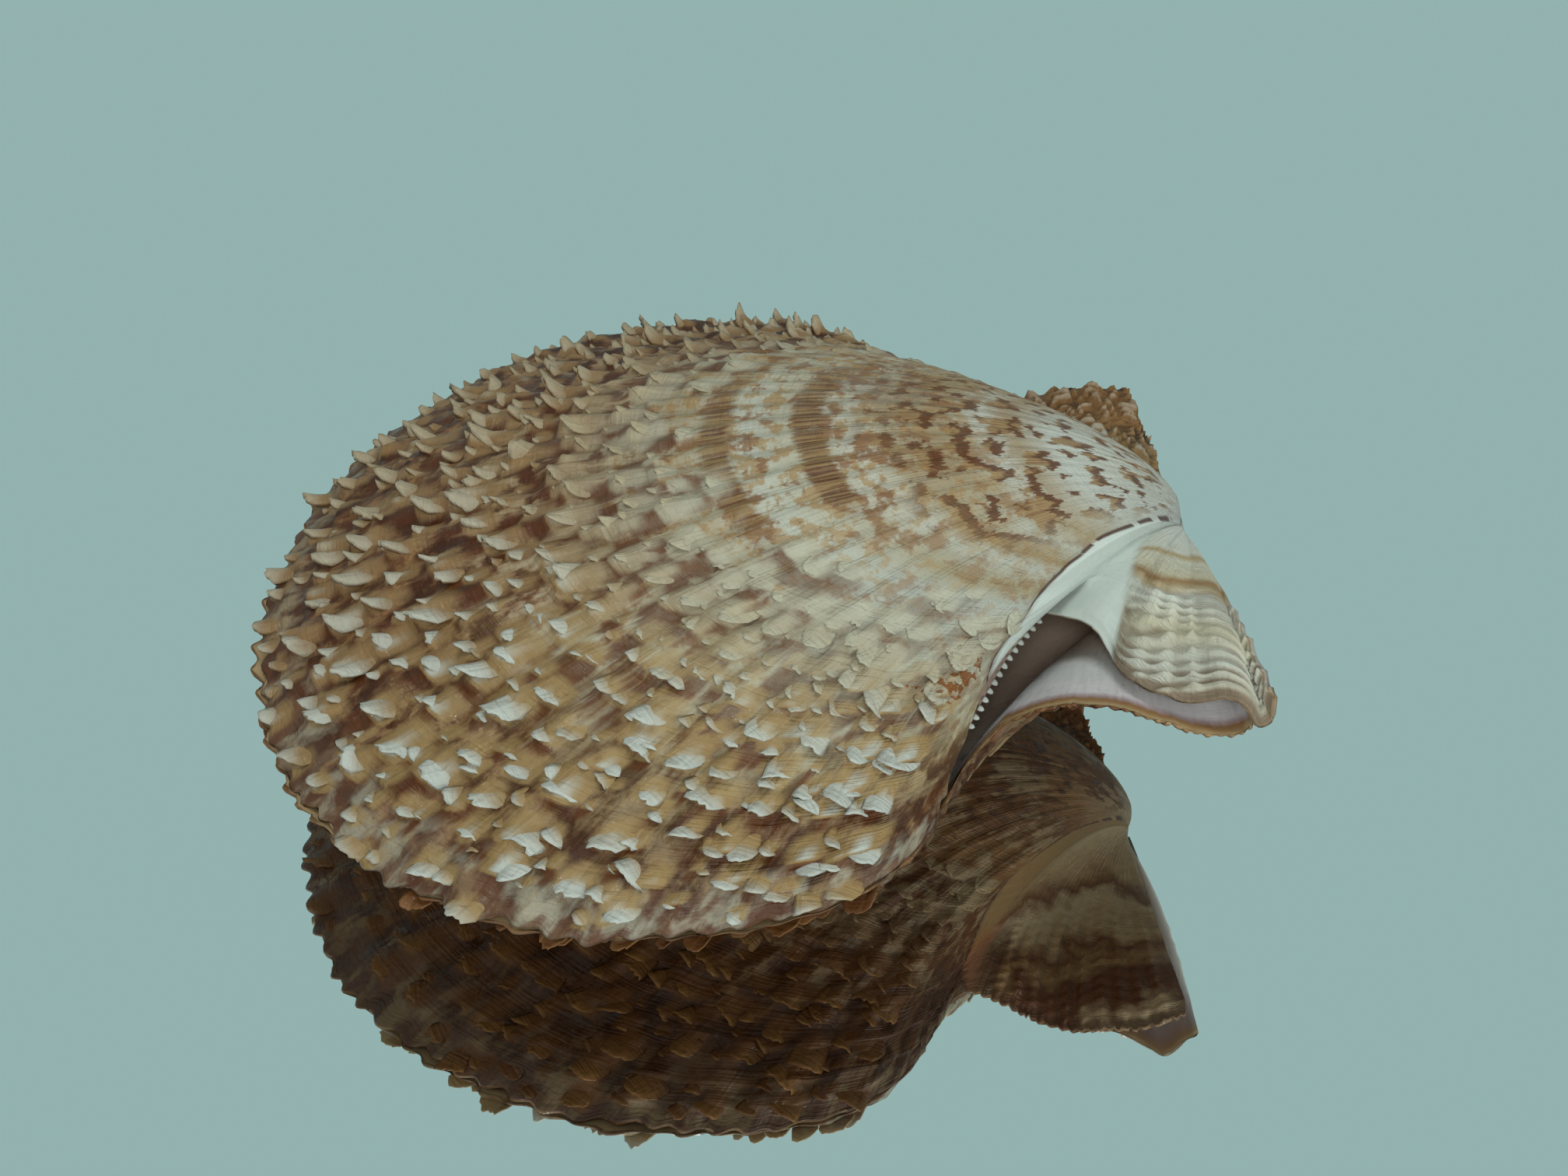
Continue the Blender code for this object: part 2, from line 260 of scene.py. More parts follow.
def marginRipple(shape, place, growth):   # the uneven growing edge, as extra growth
    ribs, flat = ribCount(place), 0 * place
    ripple = (0.5 * softNoise(ribs * 1.7, flat, shape["seed"])
              + 0.6 * softNoise(ribs * 0.6, flat + 5.5, shape["seed"])
              + 0.35 * np.cos(turn * ribs * 2 + 2 * softNoise(ribs, flat, 4)))
    ripple = ripple * ornament["marginRipple"] * (0.25 + 0.75 * smoothStep(1.9, 2.1, place))
    teeth = np.abs(np.sin(turn * (place * 12 + 0.3 * softNoise(place * 9, flat, 6))))
    ripple += shape["serration"] * (teeth - 0.5) * (place < 1.3)
    return ripple * smoothStep(0.955, 1, growth) / 30


def outsideRelief(shape, place, growth):   # mm out from the growth surface
    ribs = ribCount(place)
    seed = shape["seed"]
    bent = growth + 0.006 * softNoise(ribs * 0.5, growth * 9, seed + 1)
    flat = onDisc(shape, place, growth)
    rough = 1 - satinBand(shape, place, growth)
    rise = 0.3 + 0.7 * smoothStep(0.3, 0.8, growth)
    crest = -np.cos(turn * ribs + 0.9 * softNoise(ribs, growth * 14, seed + 2))
    relief = flat * ornament["ribHeight"] * rise * crest
    relief += ornament["swell"] * growth * softNoise(ribs * 0.45, growth * 11, seed + 4) * rough
    relief += (flat * ornament["lumps"] * smoothStep(0.35, 0.6, growth)
               * softNoise(ribs * 1.9, growth * 27, seed + 8))
    relief += ornament["grit"] * rough * softNoise(ribs * 2.2, growth * 70, seed + 5)
    for stage, drop in ornament["steps"]:
        rising = np.clip((bent - stage) / ornament["stepRun"] + 1, 0, 1) ** 2
        relief += drop * flat * rising * (bent < stage)
    relief += frontEarRelief(shape, place, growth) + backEarKnobs(shape, place, growth)
    apart = fromSeam(shape, place, growth)
    relief -= (ornament["seamDepth"] * np.exp(-(apart / 0.3) ** 2)
               * smoothStep(0.08, 0.3, growth) * (1 - smoothStep(0.93, 1, growth)))
    relief = relief * np.clip(2.4 * growth, 0, 1) * (1 - 0.45 * smoothStep(0.97, 1, growth))
    return outsideThickness(place, growth) + relief


def outsideThickness(place, growth):   # mm, before the relief
    thin = 0.5 - 0.3 * discShare(place)
    laid = thin + (1 - thin) * smoothStep(0, wall["outsideGrown"], growth)
    thickness = wall["outside"] * laid - ((wall["outside"] - wall["marginThickness"])
                                          * smoothStep(0.955, 1, growth))
    atNotch = (smoothStep(0.8, 0.95, place) * (1 - smoothStep(1.6, 2.0, place))
               * smoothStep(0.7, 0.88, growth))
    return thickness * (1 - atNotch) + wall["notchThickness"] * atNotch


def frontEarRelief(shape, place, growth):   # folds, crossed by beaded ribs
    seed = shape["seed"]
    onEar = (place < 1) * (1 - smoothStep(-0.05, 0.02, pastBandEdge(shape, place, growth)))
    curved = growth - earBend["share"] * np.clip(place - earBend["from"], 0, 1)
    folds = curved * shape["earFolds"] + 0.5 * softNoise(place * 5, growth * 7, seed + 6)
    fold = folds % 1.0
    wave = np.where(fold < 0.8, (fold / 0.8) ** 1.6, (1 - fold) / 0.2) - 0.4
    uneven = 0.8 + 1.1 * softNoise(place * 6, folds * 0.9, seed + 7)
    relief = onEar * shape["foldHeight"] * wave * uneven * smoothStep(0.36, 0.72, curved)
    beaded = 0.95 + shape["beading"] * (bumps(fold - 0.25) - 0.5)
    for middle, height in shape["earRibs"]:
        drift = middle + 0.06 * (0.75 - growth)
        ridge = np.exp(-((place - drift) / 0.03) ** 2) * onEar
        relief += ridge * height * smoothStep(0.45, 0.75, growth) * beaded
    return relief


def backEarKnobs(shape, place, growth):
    seed = shape["seed"]
    rows = growth * 19 + 1.2 * softNoise(place * 8, growth * 9, seed + 9)
    columns = (place - 4) * 9 + 0.8 * softNoise(place * 7, growth * 11, seed + 10)
    knobs = bumps(columns) * bumps(rows) * (0.9 + 0.8 * softNoise(columns, rows, seed + 12))
    return (smoothStep(3.95, 4.1, place) * ornament["backBeads"] * (1.9 * knobs - 0.3)
            * smoothStep(0.2, 0.5, growth))


def earEdge(shape, place, growth):   # the stepped upper edge of the ear, mm outwards
    step = growth * 8.5 + 0.35 + 0.4 * softNoise(growth * 9, 0 * place, shape["seed"])
    stepped = shape["edgeStep"] * (0.5 - np.abs(np.cos(turn * step / 2)) ** 0.6)
    return (stepped * (1 - smoothStep(0, 0.12, place)) * smoothStep(0.35, 0.6, growth)
            * (1 - smoothStep(0.95, 1, growth)))


def insideDepth(place, growth):   # mm in from the growth surface
    depth = wall["inside"] * discShare(place) * np.clip((1 - growth) / wall["insideFade"], 0, 1)
    onRibs = smoothStep(1.75, 2.02, place) * beforeBackFlank(place)
    folds = (ornament["insideFolds"] * np.cos(turn * ribCount(place)) * onRibs
             * smoothStep(0.6, 0.9, growth))
    return depth + folds * (1 - smoothStep(0.96, 1, growth))


padLow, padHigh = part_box("hinge_ligament")
lie = Euler((math.radians(lying["tiltFront"]), -math.radians(lying["tiltVentral"]), 0)).to_matrix()
hinge = (padLow + padHigh) / 2 + lie @ Vector((lying["padToHinge"] * mm, 0, 0))


def layDown(points, side):   # from mm about the hinge to where the shell lies
    flipped = points * np.array([1, 1, side])
    laid = flipped * mm @ np.array(lie).T + np.array(hinge)
    laid[..., 2] = np.maximum(laid[..., 2], 0)
    return laid


def editMesh(mesh, change):
    work = bmesh.new()
    work.from_mesh(mesh)
    change(work)
    work.to_mesh(mesh)
    work.free()


def makePiece(name, points, faces, fields, flatMap, material):
    mesh = bpy.data.meshes.new(name)
    mesh.from_pydata(points.reshape(-1, 3), [], faces)
    editMesh(mesh, lambda work: bmesh.ops.recalc_face_normals(work, faces=work.faces))
    mesh.shade_smooth()
    for field, values in fields.items():
        made = mesh.attributes.new(field, 'FLOAT', 'POINT')
        made.data.foreach_set("value", np.ascontiguousarray(values, np.float32).ravel())
    corners = np.zeros(len(mesh.loops), np.int32)
    mesh.loops.foreach_get("vertex_index", corners)
    unwrapped = mesh.uv_layers.new(name="OFBake")
    unwrapped.data.foreach_set("uv", flatMap.reshape(-1, 2)[corners].astype(np.float32).ravel())
    mesh.materials.append(material)
    piece = bpy.data.objects.new(name, mesh)
    bpy.context.scene.collection.objects.link(piece)
    return piece


def gridFaces(index):   # quads, or triangles where a row has shrunk to one corner
    a, b = index[:-1, :-1].ravel(), index[:-1, 1:].ravel()
    c, d = index[1:, 1:].ravel(), index[1:, :-1].ravel()
    return [(p, q, r, s) if p != q else (q, r, s)
            for p, q, r, s in zip(a.tolist(), b.tolist(), c.tolist(), d.tolist())]


def tubeFaces(index):
    return gridFaces(np.concatenate([index, index[:, :1]], 1))


def repeatFaces(faces, corners, count):   # the faces of one form, for many of it
    return [tuple(corner + number * corners for corner in face)
            for number in range(count) for face in faces]


def gridOfMap(across, up):
    return np.stack(np.meshgrid(across, up), -1)


def stitch(fine, coarse, spans):   # joins an edge to one with a corner for every few of its own
    faces = []
    for step in range(len(coarse) - 1):
        start, stop = step * spans, step * spans + spans
        faces += [(fine[corner], fine[corner + 1], coarse[step]) for corner in range(start, stop)]
        faces.append((fine[stop], coarse[step + 1], coarse[step]))
    return faces


def easeBand(points, place, growth):   # rounds off the fold where the ear meets the disc
    hold = (smoothStep(0.72, 0.86, place) * (1 - smoothStep(1.8, 2.0, place)))[:, 1:-1, None]
    eased = points.copy()
    for _ in range(wall["easing"]):
        middle = (eased[:, :-2] + eased[:, 2:]) / 2
        eased[:, 1:-1] += 0.5 * hold * (middle - eased[:, 1:-1])
    share = 1 - smoothStep(0.6, 0.86, growth)
    return points + (eased - points) * share[..., None]


def thinOut(grid):   # the lining has fewer corners than the outside
    return grid[::wall["insideRingStep"], ::wall["insideColumnStep"]]


def valveSurfaces(shape, place, growth, relief):   # outside, growing edge and lining, mm
    rippled = growth + marginRipple(shape, place, growth)
    normal, forward = directions(shape, place, rippled)
    surface = grow(shape, place, rippled)
    surface -= (unit(alongMargin(shape, place, growth, 0.01))
                * earEdge(shape, place, growth)[..., None])
    tucked = (shape["tuck"] * smoothStep(0.98, 1.12, place) * (1 - smoothStep(1.5, 1.85, place))
              * smoothStep(0.55, 0.8, growth) * (1 - smoothStep(0.93, 1.0, growth)))
    surface -= normal * tucked[..., None]     # the wall is hollow behind the notch's edge
    outer = easeBand(surface + normal * relief[..., None], place, growth)
    rim = surface[-1] + normal[-1] * relief[-1][:, None] * 0.5 + forward[-1] * wall["rim"]
    depth = insideDepth(thinOut(place), thinOut(growth))
    inner = thinOut(surface) + np.array([0, 0, wall["gap"]]) - thinOut(normal) * depth[..., None]
    outer[0], inner[0] = outer[0].mean(0), inner[0].mean(0)
    return outer, rim, inner


def valveFaces(outer, rim, inner):
    outerIndex = np.arange(outer[..., 0].size).reshape(outer.shape[:2])
    rimIndex = outerIndex.size + np.arange(len(rim))
    innerIndex = (rimIndex[-1] + 1 + np.arange(inner[..., 0].size)).reshape(inner.shape[:2])
    outerIndex[0], innerIndex[0] = outerIndex[0, 0], innerIndex[0, 0]
    faces = gridFaces(outerIndex) + gridFaces(innerIndex[:, ::-1])
    faces += gridFaces(np.stack([outerIndex[-1], rimIndex]))
    faces += stitch(rimIndex.tolist(), innerIndex[-1].tolist(), wall["insideColumnStep"])
    for end in (0, -1):
        faces += stitch(outerIndex[:, end].tolist(), innerIndex[:, end].tolist(),
                        wall["insideRingStep"])
    faces += [(int(rimIndex[end]), int(outerIndex[-1, end]), int(innerIndex[-1, end]))
              for end in (0, -1)]
    return faces


def valveFields(shape, place, growth, relief, marks):   # for outside, growing edge and lining
    ribs = ribCount(place)
    hollow = 0.5 + 0.5 * np.clip((relief - wall["outside"]) / 0.5, -1, 1)
    apart, satin = fromSeam(shape, place, growth), satinBand(shape, place, growth)
    parts = {
        "place": (place, place[-1], thinOut(place)),
        "across": (ribs, ribs[-1], ribCount(thinOut(place))),
        "growth": (growth, growth[-1], thinOut(growth)),
        "inside": (0, 0.35, 1), "height": (hollow, 0.5, 0.5),
        "fromSeam": (apart, apart[-1], farFromSeam), "satin": (satin, satin[-1], 0),
    }
    for key, values in marks.items():
        parts[key] = (values, values[-1], 0)
    sizes = [grid.shape for grid in parts["place"]]
    return {key: np.concatenate([np.broadcast_to(values, size).ravel()
                                 for values, size in zip(given, sizes)])
            for key, given in parts.items()}


def valveMap(place):   # the outside below, the growing edge between, the lining above
    across = np.linspace(0, 1, place.shape[1])
    up = np.linspace(0, 0.7, place.shape[0])
    inUp = 0.72 + 0.28 * (1 - up[::wall["insideRingStep"]] / 0.7)
    return np.vstack([gridOfMap(across, up).reshape(-1, 2),
                      np.stack([across, 0 * across + 0.71], -1),
                      gridOfMap(across[::wall["insideColumnStep"]], inUp).reshape(-1, 2)])


def dropLoose(work):   # corners that the closed tips left over
    loose = [corner for corner in work.verts if not corner.link_faces]
    bmesh.ops.delete(work, geom=loose, context='VERTS')


def makeValve(name, shape, scales, material):
    place = np.concatenate([part + np.arange(count) / count
                            for part, count in enumerate(wall["columnSpans"])] + [[5.0]])
    even = np.linspace(0, 1, wall["ringSpans"] + 1)
    growth = disc["beak"] + (1 - disc["beak"]) * even ** wall["ringCrowding"]
    place, growth = np.meshgrid(place, growth)
    marks = scalePrint(scales, place, growth)
    relief = outsideRelief(shape, place, growth) + ornament["ramp"] * marks["raised"]
    surfaces = valveSurfaces(shape, place, growth, relief)
    points = np.vstack([surface.reshape(-1, 3) for surface in surfaces])
    piece = makePiece(name, layDown(points, shape["side"]), valveFaces(*surfaces),
                      valveFields(shape, place, growth, relief, marks), valveMap(place), material)
    editMesh(piece.data, dropLoose)
    return piece


rightScales = {
    "pitch": 3.9, "smallPitch": 2.7, "jitter": 0.35,   # mm along a rib, and how uneven that is
    "first": ((0, 6, 12, 26), (0.43, 0.45, 0.53, 0.5)),     # ribs, growth of the first scale
    "between": 0.54, "last": 0.98,                          # growth: small rows, all rows
    "sizes": [0.55, 0.8, 1.0, 1.15], "shares": [0.2, 0.3, 0.32, 0.18],
    "build": ((0.43, 0.53, 0.62, 0.74, 0.9, 0.95, 1.0),     # growth, share of full height
              (0.16, 0.4, 0.74, 1.0, 1.0, 0.6, 0.4)),
    "height": 1.35, "smallHeight": 0.8,   # mm
    "run": 1.75, "width": 1.08, "smallWidth": 0.74,   # mm, and half widths
    "footThickness": 0.34, "lipThickness": 0.1, "knob": 0.5, "smallKnob": 0.3,   # mm
    "smallRun": 0.65, "smallThickness": 0.6, "smallDash": 0.7,   # shares of a large scale's
    "dash": (1.6, 3.4), "dashStrength": (0.35, 1.2),   # mm, the dark dash in front of a scale: a brown mark and painted shade under its lip
    "corners": ((11, 9), (7, 6)),     # across and along, of large scales and small ones
    "lipSquareness": (1.9, 4.5), "lipRounding": (0.1, 0.6), "lipNotches": (0.03, 0.2),
    "curl": (1.7, 2.5),               # these four are the least and the most
    "lipSkew": (0.13, 0.12),          # mean and spread
    "twist": 11, "innerShare": 0.92, "seed": 5,   # the twist in degrees
}

leftScales = dict(rightScales, height=1.1, smallHeight=0.65, seed=17)


def scaleRows(shape, look):   # where the scales stand and how big each one is
    draw = np.random.default_rng(look["seed"])
    margin = shape["margin"]
    rows = []
    for line in range(2 * disc["ribs"]):
        small = line % 2 == 1
        home = 2 + (line + 0.5) / (2 * disc["ribs"])
        rib = (line + 0.5) / 2
        reach = float(np.hypot(np.interp(home, margin["place"], margin["front"]),
                               np.interp(home, margin["place"], margin["ventral"])))
        first = np.interp(rib, *look["first"])
        growth = first + draw.uniform(0, 0.08) + (look["between"] - first if small else 0)
        crowd = 0.72 + 0.28 * smoothStep(5, 12, rib)    # the front rows stand closer
        pitch = look["smallPitch" if small else "pitch"]
        while growth < look["last"]:
            sideways = draw.normal(0, 0.3) * min(1, 1.4 / ribWidth(growth))
            size = draw.choice(look["sizes"], p=look["shares"]) * draw.uniform(0.9, 1.1)
            rows.append((home + sideways / disc["ribs"], growth, small, size))
            growth += (pitch / reach * (0.7 + 0.35 * growth)
                       * crowd * draw.uniform(1 - look["jitter"], 1 + look["jitter"]))
    return np.array(rows, float)


def knobShare(ribs, growth):   # outer scales away from the front are knobs rather than blades
    return smoothStep(7, 13, ribs) * smoothStep(0.64, 0.74, growth)


def scaleSizes(look, rows):   # height, run and half width of each scale, mm
    draw = np.random.default_rng(look["seed"] + 2)
    growth, small = rows[:, 1], rows[:, 2] > 0.5
    ribs = ribCount(rows[:, 0])
    patch = 1 + 0.22 * softNoise(ribs * 0.3, growth * 7, look["seed"])
    backwards = smoothStep(14, 24, ribs)
    knobbed = knobShare(ribs, growth)
    tall = (np.where(small, look["smallHeight"], look["height"])
            * np.interp(growth, *look["build"]) * patch * rows[:, 3])
    tall = tall * (1 + 0.24 * knobbed - 0.26 * backwards)
    run = look["run"] * np.sqrt(rows[:, 3]) * np.where(small, look["smallRun"], 1) + 0.75 * tall
    half = np.where(small, look["smallWidth"], look["width"]) * (0.6 + 0.4 * rows[:, 3])
    young = 1 - smoothStep(0.58, 0.74, growth)
    half = half * draw.uniform(0.82, 1.2, len(rows)) * (1.1 - 0.2 * np.maximum(backwards, young)
                                                        - 0.22 * knobbed)
    half = np.minimum(half, 0.52 * ribWidth(growth) + 0.12)
    return tall, run, half


def scalePrint(look, place, growth):   # dashes with painted shade under the lips, raised feet, lips and kinds on the shell itself
    rows = look["rows"]
    draw = np.random.default_rng(look["seed"] + 1)
    ribs, stages = ribCount(place[0]), growth[:, 0]
    shaded, raised, tips = (np.zeros(place.shape) for _ in range(3))
    kinds = np.full(place.shape, 0.5)
    sizes = scaleSizes(look, rows)
    for (home, stage, small, _), high, run, wide, kind in zip(rows, *sizes, look["kinds"]):
        rib, width = ribCount(home) + draw.normal(0, 0.08), ribWidth(stage)
        reach = 0.85 * run / disc["growthLength"]
        long = (draw.uniform(*look["dash"]) * (look["smallDash"] if small else 1)
                / disc["growthLength"])
        columns = np.flatnonzero(np.abs(ribs - rib) * width < 3 * wide)
        rings = np.flatnonzero((stages > stage - reach) & (stages < stage + reach + 1.4 * long))
        if not len(columns) or not len(rings):
            continue
        aside = (ribs[columns] - rib)[None, :] * width / wide
        climb = (stages[rings] - stage)[:, None] / reach
        ahead = (climb - 1) * reach / long
        # the dash begins under the lip and runs on ahead of it: partly a brown mark, partly painted
        # shade under the lip
        under = smoothStep(-0.35, 0.1, ahead) * (1 - smoothStep(0.2, 1.5, ahead))
        spot = under * np.exp(-(aside / draw.uniform(0.7, 1.1)) ** 2)
        spot = spot * draw.uniform(*look["dashStrength"])
        spot = spot * (1.7 - 0.7 * smoothStep(0.56, 0.68, stage))
        ramp = np.clip((climb + 0.6) / 1.6, 0, 1)
        beside = aside / (1.2 - 0.45 * ramp)
        hump = high * ramp ** 1.6 * (1 - smoothStep(0.95, 1.25, climb)) * np.exp(-beside ** 2)
        hump = hump * (1.35 - 0.35 * smoothStep(0.58, 0.75, stage))
        tip = (0.3 + 0.45 * (ramp - 0.375) / 0.625) * smoothStep(-0.6, 0, climb)
        tip = tip * (1 - smoothStep(0.9, 1.1, climb)) * np.exp(-beside ** 2)
        tip = tip * lipStrength(high)
        block = np.ix_(rings, columns)
        kinds[block] = np.where(tip > tips[block], kind, kinds[block])
        for field, values in ((shaded, spot), (raised, hump), (tips, tip)):
            field[block] = np.maximum(field[block], values)
    return {"shaded": shaded, "raised": raised, "tip": tips, "variety": kinds}


def lipStrength(tall):   # low scales have a fainter lip
    return np.clip(0.6 + 0.4 * tall, 0.4, 1)


def makeScales(name, shape, look, material):
    rows = look["rows"]
    sizes = scaleSizes(look, rows)
    draw = np.random.default_rng(look["seed"] + 3)
    made = []
    for small, (sides, along) in enumerate(look["corners"]):
        chosen = rows[:, 2] == small
        made.append(scaleMesh(shape, look, rows[chosen], [size[chosen] for size in sizes],
                              look["kinds"][chosen], bool(small), sides, along, draw))
    points, (largeFaces, smallFaces), fields, flatMaps = zip(*made)
    faces = largeFaces + [tuple(corner + len(points[0]) for corner in face)
                          for face in smallFaces]
    fields = {key: np.concatenate([part[key] for part in fields]) for key in fields[0]}
    return makePiece(name, layDown(np.vstack(points), shape["side"]), faces, fields,
                     np.vstack(flatMaps), material)


def drawBlades(look, knobbed, young, sides, draw):   # how far up each line runs, twist, curl
    count = len(knobbed)
    square = draw.uniform(*look["lipSquareness"], (count, 1))
    rounding = draw.uniform(*look["lipRounding"], (count, 1))
    rounding = rounding + (0.12 * knobbed + 0.25 * young)[:, None]
    square = square + (1.6 - square) * np.clip(0.25 * knobbed + 0.8 * young, 0, 1)[:, None]
    skew = draw.normal(*look["lipSkew"], (count, 1))
    twist = draw.normal(0, math.radians(look["twist"]), count)
    notch = draw.uniform(0, 1, (count, sides)) * draw.uniform(*look["lipNotches"], (count, 1))
    curl = draw.uniform(*look["curl"], (count, 1, 1))
    back = np.linspace(-1, 1, sides)
    cut = 1 - rounding * np.abs(back) ** square - notch + skew * back
    return np.concatenate([cut, cut[:, ::-1] * 0.985], 1), twist, curl


def bladeForm(look, sizes, small, knobbed, t, curl):   # mm forwards, up and aside of the foot
    tall, run, half = (size[:, None, None] for size in sizes)
    sides = t.shape[2] // 2
    back = np.linspace(-1, 1, sides)
    loop = np.concatenate([back, back[::-1] * look["innerShare"]])   # outer face, inner face
    rise = tall * np.clip(t, 0, 2) ** curl
    breadth = half * (0.72 + 0.28 * np.sin(math.pi * np.clip(t * 0.7, 0, 0.5)))
    arch = rise * (1 - 0.6 * t ** 2) + 0.14
    knobbed = knobbed[:, None, None]
    foot = look["footThickness"] * (look["smallThickness"] if small else 1)
    knob = look["smallKnob"] if small else look["knob"]
    thick = (1 + 0.7 * knobbed) * (foot * (1 - t) + look["lipThickness"] * t)
    thick = (thick + knob * knobbed * t) * (1 - 0.5 * np.abs(loop))
    drop = np.abs(loop) ** 2.3 * arch + thick * np.repeat([0, 1], sides)
    slope = np.arctan2(tall * curl * np.clip(t, 0.01, 2) ** (curl - 1), run)
    forwards = run * t + drop * np.sin(slope) * 0.7
    upwards = rise - drop * np.cos(slope) - 0.12 * (1 - t) + 0.12 * tall * t
    return forwards, upwards, breadth * loop


def standBlades(shape, place, growth, run, twist, forwards, upwards, aside):
    normal, forward = directions(shape, place, growth)
    surface = grow(shape, place, growth)
    lifted = surface + normal * outsideRelief(shape, place, growth)[:, None]
    ahead = growth + run / disc["growthLength"]            # follow the curve of the shell
    onward = directions(shape, place, np.clip(ahead, 0, 1))[1]
    bend = 0.5 * np.einsum('ij,ij->i', onward, normal)
    sideways = np.cross(forward, normal)
    turned = forward * np.cos(twist)[:, None] + sideways * np.sin(twist)[:, None]
    beside = sideways * np.cos(twist)[:, None] - forward * np.sin(twist)[:, None]
    upwards = upwards + forwards * bend[:, None, None]
    return (lifted[:, None, None] + turned[:, None, None] * forwards[..., None]
            + normal[:, None, None] * upwards[..., None] + beside[:, None, None] * aside[..., None])


def eachCorner(size, **values):   # one value for each corner of each form
    return {key: np.broadcast_to(value, size).ravel() for key, value in values.items()}


def scaleMesh(shape, look, rows, sizes, kinds, small, sides, along, draw):
    count, loops = len(rows), 2 * sides
    place, growth = rows[:, 0], rows[:, 1]
    ribs = ribCount(place)
    knobbed = knobShare(ribs, growth)
    young = 1 - smoothStep(0.6, 0.74, growth)
    cut, twist, curl = drawBlades(look, knobbed, young, sides, draw)
    t = np.linspace(0, 1, along)[None, :, None] * cut[:, None, :]
    forwards, upwards, aside = bladeForm(look, sizes, small, knobbed, t, curl)
    points = standBlades(shape, place, growth, sizes[1], twist, forwards, upwards, aside)

    index = np.arange(along * loops).reshape(along, loops)
    faces = []
    for row in (0, along - 1):
        faces += gridFaces(np.stack([index[row, :sides], index[row, sides:][::-1]]))
    faces = repeatFaces(faces + tubeFaces(index), index.size, count)
    lip = (0.3 + 0.7 * np.clip(t, 0, 1)) * lipStrength(sizes[0])[:, None, None]
    fields = eachCorner(
        (count, along, loops), place=place[:, None, None],
        across=ribs[:, None, None] + aside / ribWidth(growth)[:, None, None],
        growth=np.clip(growth[:, None, None] + forwards / disc["growthLength"], 0, 0.999),
        inside=0, height=0.6, tip=lip * (1 - 0.45 * np.repeat([0, 1], sides)),
        variety=kinds[:, None, None], fromSeam=farFromSeam, satin=0, shaded=0, raised=1)
    return points.reshape(-1, 3), faces, fields, scaleMap(count, loops, along, small)


def scaleMap(count, loops, along, small):   # large scales on the left half, small on the right
    cells = math.ceil(math.sqrt(count))
    number = np.arange(count)
    cell = np.stack([number % cells, number // cells], -1)[:, None, None] / cells
    inCell = gridOfMap(np.linspace(0.05, 0.95, loops), np.linspace(0.05, 0.95, along))
    halved = (cell + inCell / cells) * np.array([0.5, 1.0])
    return (halved + np.array([0.5 if small else 0.0, 0])).reshape(-1, 2)


combTeeth = {
    "count": 14, "from": 1.04, "to": 1.44, "growth": 0.995,   # places along the flank
    "size": 0.25, "lift": 0.26,       # mm
    "length": 1.9, "flatness": 0.7,   # shares of the size
    "sides": 8, "along": 5,
}


def makeComb(name, shape, look, material):   # the row of small teeth below the notch
    count, sides, along = look["count"], look["sides"], look["along"]
    place = np.linspace(look["from"], look["to"], count)
    growth = np.full(count, look["growth"])
    outwards, _ = directions(shape, place, growth)
    edge = unit(alongMargin(shape, place, growth, 0.01))
    middle = grow(shape, place, growth) + outwards * look["lift"]
    normal = unit(np.cross(edge, outwards))
    sideways = unit(np.cross(outwards, normal))
    angle = np.linspace(0, turn, sides, endpoint=False)
    t = np.linspace(0, 1, along)
    thick = (look["size"] * np.sqrt(1 - t ** 2))[:, None]
    reach = look["size"] * look["length"] * t - 0.02
    points = (middle[:, None, None] + outwards[:, None, None] * reach[None, :, None, None]
              + sideways[:, None, None] * (thick * np.cos(angle))[None, ..., None]
              + normal[:, None, None] * (thick * look["flatness"] * np.sin(angle))[None, ..., None])
    index = np.arange(along * sides).reshape(along, sides)
    faces = repeatFaces(tubeFaces(index) + [tuple(index[0].tolist())], index.size, count)
    fields = eachCorner(
        (count, along, sides), place=place[:, None, None], across=ribCount(place)[:, None, None],
        growth=0.99, inside=0, height=1, tip=1, variety=0.9, fromSeam=farFromSeam, satin=0,
        shaded=0, raised=1)
    flat = gridOfMap(np.linspace(0, 0.9, sides), np.linspace(0, 0.9, along))
    flatMap = (flat[None] + np.arange(count)[:, None, None, None] * [1, 0]) / np.array([count, 1])
    piece = makePiece(name, layDown(points, shape["side"]), faces, fields, flatMap, material)
    editMesh(piece.data, lambda work: bmesh.ops.remove_doubles(work, verts=work.verts, dist=1e-7))
    return piece


def tone(red, green, blue):   # a colour as a painter would mix it, 0 to 255
    return (*(((channel / 255 + 0.055) / 1.055) ** 2.4 if channel > 10 else channel / 3294.6
              for channel in (red, green, blue)), 1.0)


def mixPaints(look):   # single colours, and lists of growth stages with the colour at each
    for key, value in look.items():
        if isinstance(value, tuple):
            look[key] = tone(*value)
        elif isinstance(value, list):
            look[key] = [(stage, tone(*colour)) for stage, *colour in value]
    return look


class Value:   # a value or colour in a shader, whose plain arithmetic becomes Math nodes
    def __init__(self, socket):
        self.socket = socket
        self.tree = socket.id_data

    def __add__(self, other):
        return calc('ADD', self, other)

    def __sub__(self, other):
        return calc('SUBTRACT', self, other)

    def __rsub__(self, other):
        return calc('SUBTRACT', other, self)

    def __mul__(self, other):
        return calc('MULTIPLY', self, other)


def addNode(tree, kind, inputs=None, **settings):
    made = tree.nodes.new(kind)
    for key, value in settings.items():
        setattr(made, key, value)
    for key, value in (inputs or {}).items():
        setInput(made, key, value)
    return made


def setInput(node, key, value):
    if isinstance(value, Value):
        value.tree.links.new(value.socket, node.inputs[key])
    else:
        node.inputs[key].default_value = value


def addValue(tree, kind, output, inputs=None, **settings):
    return Value(addNode(tree, kind, inputs, **settings).outputs[output])


def calc(operation, *values, clamp=False):
    tree = next(value.tree for value in values if isinstance(value, Value))
    return addValue(tree, "ShaderNodeMath", 0, dict(enumerate(values)),
                    operation=operation, use_clamp=clamp)


